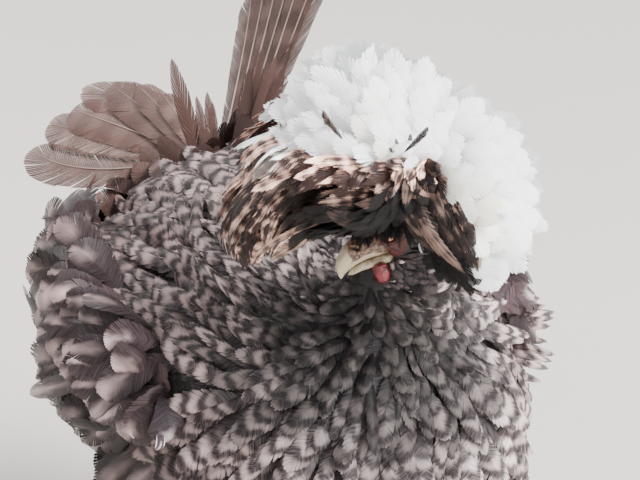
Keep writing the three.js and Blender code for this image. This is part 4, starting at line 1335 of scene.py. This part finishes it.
# Some thin dark feathers stand in the white, most of them in a spray above the parting, with a yellow one
# beside it.
CREST_MARKS = (  # root across and down, tip across and down, width, brown, darkness, lightness, stand out
    (403, 150, 390, 129, 0.0030, 1, 0.60, 0.80, 0.016), (403, 150, 396, 120, 0.0030, 1, 0.70, 0.80, 0.016),
    (404, 150, 403, 114, 0.0030, 1, 0.60, 0.80, 0.016), (405, 150, 411, 116, 0.0030, 1, 0.70, 0.80, 0.016),
    (406, 150, 418, 122, 0.0030, 1, 0.60, 0.80, 0.016), (407, 151, 421, 131, 0.0026, 1, 0.70, 0.80, 0.016),
    (402, 151, 388, 139, 0.0026, 1, 0.60, 0.80, 0.016), (404, 152, 407, 124, 0.0030, 1, 0.80, 0.60, 0.017),
    (406, 164, 424, 136, 0.0062, 0, 0.95, 1.00, 0.017), (400, 172, 384, 150, 0.0040, 1, 0.70, 0.70, 0.016),
    (403, 172, 393, 147, 0.0040, 1, 0.75, 0.70, 0.016), (406, 172, 401, 150, 0.0040, 1, 0.70, 0.70, 0.016),
    (308, 139, 297, 124, 0.0028, 1, 0.70, 0.60, 0.014), (310, 139, 304, 122, 0.0028, 1, 0.75, 0.60, 0.014),
    (334, 135, 325, 118, 0.0026, 1, 0.70, 0.60, 0.014), (336, 135, 331, 117, 0.0026, 1, 0.60, 0.70, 0.014),
    (358, 147, 352, 128, 0.0030, 1, 0.20, 0.90, 0.014), (282, 128, 294, 112, 0.0026, 1, 0.50, 0.80, 0.014))
placed_feathers("crest_marks", crest_surface, CREST_MARKS, "crest_brown", pointed_vane, crest_feather,
                camber=0.2, ragged=1.2, locks=2)


# Eyes: bright bay irises round black pupils, each ball where its solid is and as deep in the lids. The pupil
# looks out sideways, as a hen's does.
IRIS_EDGE, PUPIL_EDGE = 0.62, 0.27  # angles from the middle of the eye, in radians

eye_material, tree, shader = shaded("eye", 0.06, Coat_Weight=1.0, Coat_Roughness=0.03)
gaze = parted(carried(tree, "gaze", "Vector"))
off_axis = calc("ARCCOSINE", gaze["Z"])
spoke = calc("ARCTAN2", gaze["Y"], gaze["X"])
iris = blended(noise(joined(times(spoke, 5.0), times(off_axis, 3.0)), 2.0, 3.0),
               colour(120, 46, 14), colour(206, 104, 34))
iris = blended(ramp(off_axis, IRIS_EDGE - 0.10, IRIS_EDGE), iris, colour(44, 22, 14))
tint = blended(ramp(off_axis, PUPIL_EDGE - 0.02, PUPIL_EDGE + 0.02), colour(6, 5, 6), iris)
feed(shader.inputs["Base Color"], tint)
for name, side in (("eye_left", 1), ("eye_right", -1)):
    ball = added(name + "_ball", globe(eye_middle(side), (EYE_RADIUS,) * 3, 32))
    looks = unit(in_head(points_of(ball.data)) - eye_middle(side))
    set_field(ball.data, "gaze", np.stack([looks[:, 0], looks[:, 2], side * looks[:, 1]], -1))
    smooth_shaded(ball.data)
    finished(ball, "eye", name, material=eye_material)


# The bill: pale horn with a hooked tip, brown over the nostrils, where the horn is thin and swells into a
# soft cere. A pale cutting edge curves back to the gape. The nostril slit is painted near black as the
# shade inside it.
MOUTH_LINE_X = (0.0124, 0.0176, 0.0221, 0.0267, 0.0309, 0.0336)
MOUTH_LINE_Z = (-0.0121, -0.0101, -0.0107, -0.0124, -0.0149, -0.0176)
NOSTRIL = (0.0238, -0.0042)  # along and up
NOSTRIL_SIZE = (0.0021, 0.0009)
NOSTRIL_SLOPE = 0.55
HORN_GRAIN = 0.0004


def fine_copy(name, nodes, grain, smoothings, slot, material):
    """A smooth copy of some nodes, which it replaces."""
    piece = shell_of(name, nodes, grain, smoothings)
    finished(piece, slot, *nodes, material=material)
    return piece


horn_material, tree, shader = shaded("bill_horn", 0.38, Coat_Weight=0.25, Coat_Roughness=0.3)
cloud = noise(own_place(tree), 330.0, 5.0)
horn = blended(cloud, colour(152, 137, 110), colour(188, 174, 148))
cere = blended(ramp(noise(own_place(tree), 900.0), 0.42, 0.6), colour(62, 42, 34), colour(128, 96, 74))
tint = blended(ramp(varied(carried(tree, "pale"), cloud, 0.5, 0.9), 0.25, 0.75), cere, horn)
# The nostril slit is painted near black: painted shade inside the opening.
feed(shader.inputs["Base Color"], blended(carried(tree, "nostril"), tint, colour(24, 14, 12)))
embossed(shader, cloud, 0.0003, 0.4)

for name in ("bill_upper", "bill_lower"):
    piece = fine_copy(name + "_horn", (name,), HORN_GRAIN, 4, "bill_horn", horn_material)
    points, outwards = points_of(piece.data), normals_of(piece.data)
    local = in_head(points)
    above_mouth = local[:, 2] - np.interp(local[:, 0], MOUTH_LINE_X, MOUTH_LINE_Z)
    ahead, up = local[:, 0] - NOSTRIL[0], local[:, 2] - NOSTRIL[1]
    ahead, up = ahead + NOSTRIL_SLOPE * up, up - NOSTRIL_SLOPE * ahead
    slit = np.hypot(ahead / NOSTRIL_SIZE[0], up / NOSTRIL_SIZE[1])
    is_upper = name == "bill_upper"
    swelling = 0.0009 * np.exp(-(np.hypot(ahead, up + 0.0006) / 0.0036) ** 2) * is_upper
    hollow = 0.0014 * (1 - smooth(slit, 0.55, 1.15)) * is_upper
    ridge = 0.00028 * np.exp(-((above_mouth - 0.0006) / 0.0006) ** 2)
    growth = 0.00006 * np.sin(local[:, 0] * 3600) * smooth(local[:, 0], 0.016, 0.024)
    place(piece.data, points + outwards * (swelling - hollow + ridge + growth)[:, None])
    tip = smooth(local[:, 0], 0.0245, 0.0300)
    rim = 1 - smooth(np.abs(above_mouth), 0.0016, 0.0034)
    set_field(piece.data, "pale", np.maximum(tip, rim if is_upper else 0.55 + 0.3 * tip))
    set_field(piece.data, "nostril", (1 - smooth(slit, 0.6, 1.0)) * is_upper)


# Wattles and ear lobes: small soft flaps of bare skin, deep red below the bill and bluish white behind the
# jaw.
def soft_skin(name, first, second, grain):
    """Bare skin, mottled between two colours, with a fine relief."""
    material, tree, shader = shaded(name, 0.42, Coat_Weight=0.15, Coat_Roughness=0.4)
    mottle = noise(own_place(tree), grain, 4.0)
    feed(shader.inputs["Base Color"], blended(ramp(mottle, 0.3, 0.7), first, second))
    embossed(shader, cells(own_place(tree), 4 * grain), 0.0003, 0.7)
    return material


wattle_material = soft_skin("wattle", colour(76, 8, 16), colour(118, 24, 32), 380.0)
lobe_material = soft_skin("earlobe", colour(176, 178, 186), colour(214, 208, 206), 380.0)
for side in ("right", "left"):
    for name, material in (("wattle", wattle_material), ("earlobe", lobe_material)):
        flap = fine_copy(f"{name}_{side}_skin", (f"{name}_{side}",), HORN_GRAIN, 4, name, material)
        points = points_of(flap.data)
        local = in_head(points)
        folds = np.sin(local[:, 0] * 2600 + 1.5 * np.sin(local[:, 2] * 1100)) * np.sin(local[:, 2] * 1900)
        place(flap.data, points + normals_of(flap.data) * (0.00012 * folds)[:, None])


# Legs and feet: clean slate-blue shanks and toes with overlapping plates down the front and along each toe,
# soft skin with small scales behind, and horn-coloured claws. Each foot's four toes and its shank are one
# skin.
PLATE_SPACING = 0.0042
SECTIONS = 7  # along a shank or a toe
PLATE_FACING = (0, -0.5, 0.9)
FOOT_GRAIN, CLAW_GRAIN = 0.0009, 0.0005
TOES = ("middle", "inner", "outer", "hind")

scale_material, tree, shader = shaded("shank_scale", 0.5, Coat_Weight=0.1, Coat_Roughness=0.4)
mottle = noise(own_place(tree), 160.0, 5.0)
grooves = ramp(cells(own_place(tree), 520.0, "DISTANCE_TO_EDGE"), 0.0, 0.16)
tint = blended(ramp(mottle, 0.32, 0.68), colour(92, 98, 106), colour(140, 144, 148))
feed(shader.inputs["Base Color"], blended(grooves, colour(70, 70, 76), tint))
embossed(shader, grooves, 0.0004, 0.5)

claw_material, tree, shader = shaded("claw_horn", 0.32, Coat_Weight=0.2, Coat_Roughness=0.3)
streak = noise(own_place(tree), 420.0, 3.0)
feed(shader.inputs["Base Color"], blended(streak, colour(96, 84, 76), colour(176, 160, 140)))


def sections_of(node_name, start, count):
    """Middles and half thicknesses along a long solid, from the end nearest to start."""
    points, off_middle, _, along = long_solid(node_name, start)
    reach = off_middle @ along
    found = []
    for at in np.linspace(reach.min(), reach.max(), count + 2)[1:-1]:
        ring = points[np.argsort(np.abs(reach - at))[:14]]
        middle = (ring.min(0) + ring.max(0)) / 2
        off = ring - middle
        off = off - (off @ along)[:, None] * along
        found.append((*middle, np.linalg.norm(off, axis=1).max()))
    return found


def plate_mesh():
    """One horny plate round the front of a leg of radius 1. Its far edge stands out over the next plate."""
    turns, rises = np.linspace(-1.3, 1.3, 9), np.linspace(0, 1, 5)
    points, faces = [], []
    for rise in rises:
        for turn in turns:
            out = 0.98 + 0.13 * math.sin(math.pi * min(rise, 0.92) * 0.6) - 0.10 * (turn / 1.3) ** 4
            height = (rise - 0.5) * (1 - 0.35 * (turn / 1.3) ** 2)
            points.append((out * math.cos(turn), out * math.sin(turn), height))
    for i in range(len(rises) - 1):
        for j in range(len(turns) - 1):
            a = i * len(turns) + j
            faces.append((a, a + 1, a + 1 + len(turns), a + len(turns)))
    mesh = bpy.data.meshes.new("plate")
    mesh.from_pydata(points, [], faces)
    return mesh


plate = added("plate", plate_mesh())

scutes = bpy.data.node_groups.new("scutes", "GeometryNodeTree")
for label, kind in (("Geometry", "Geometry"), ("Spacing", "Float"), ("Facing", "Vector"), ("Plate", "Object"),
                    ("Material", "Material")):
    scutes.interface.new_socket(label, in_out="INPUT", socket_type="NodeSocket" + kind)
scutes.interface.new_socket("Geometry", in_out="OUTPUT", socket_type="NodeSocketGeometry")
given, result = node(scutes, "NodeGroupInput").outputs, node(scutes, "NodeGroupOutput").inputs
dots = node(scutes, "GeometryNodeCurveToPoints", {"Curve": given["Geometry"], "Length": given["Spacing"]},
            mode="LENGTH")
turn = node(scutes, "FunctionNodeAxesToRotation", {0: dots.outputs["Tangent"], 1: given["Facing"]},
            primary_axis="Z", secondary_axis="X")
girth = node(scutes, "GeometryNodeInputRadius").outputs[0]
shape = node(scutes, "GeometryNodeObjectInfo", {"Object": given["Plate"]})
copies = node(scutes, "GeometryNodeInstanceOnPoints", {
    "Points": dots.outputs["Points"], "Instance": shape.outputs["Geometry"], "Rotation": turn.outputs[0],
    "Scale": joined(girth, girth, times(given["Spacing"], 1.35))})
whole = node(scutes, "GeometryNodeRealizeInstances", {0: copies.outputs[0]})
painted = node(scutes, "GeometryNodeSetMaterial", {
    "Geometry": whole.outputs[0], "Material": given["Material"]})
feed(result["Geometry"], painted.outputs[0])

for side in ("right", "left"):
    toes = [f"toe_{toe}_{side}" for toe in TOES]
    leg = (f"shank_{side}", *toes)
    foot = fine_copy(f"foot_{side}_skin", leg, FOOT_GRAIN, 3, "shank_scale", scale_material)
    place(foot.data, np.maximum(points_of(foot.data), (-1, -1, 0)))
    hock = np.array(middle_of(f"drumstick_{side}"))
    ankle = np.array(middle_of(f"toe_hind_{side}"))
    path = bpy.data.curves.new("scute_path", "CURVE")
    path.dimensions = "3D"
    for name, start in [(f"shank_{side}", hock)] + [(toe, ankle) for toe in toes]:
        spline = path.splines.new("POLY")
        sections = sections_of(name, start, SECTIONS)
        spline.points.add(len(sections) - 1)
        for point, (x, y, z, radius) in zip(spline.points, sections):
            point.co = (x, y, z, 1)
            point.radius = radius
    route = added("scute_path", path)
    modifier = route.modifiers.new("scutes", "NODES")
    modifier.node_group = scutes
    settings = {
        "Spacing": PLATE_SPACING, "Facing": PLATE_FACING, "Plate": plate, "Material": scale_material}
    for item in scutes.interface.items_tree:
        if item.in_out == "INPUT" and item.name in settings:
            modifier[item.identifier] = settings[item.name]
    evaluated = route.evaluated_get(bpy.context.evaluated_depsgraph_get())
    plates = added(f"foot_{side}_plates", bpy.data.meshes.new_from_object(evaluated))
    bpy.data.objects.remove(route)
    place(plates.data, np.maximum(points_of(plates.data), (-1, -1, 0)))
    smooth_shaded(plates.data)
    finished(plates, "shank_scale")
    for toe in TOES:
        claw = f"claw_{toe}_{side}"
        fine_copy(claw + "_horn", (claw,), CLAW_GRAIN, 3, "claw_horn", claw_material)
bpy.data.objects.remove(plate)
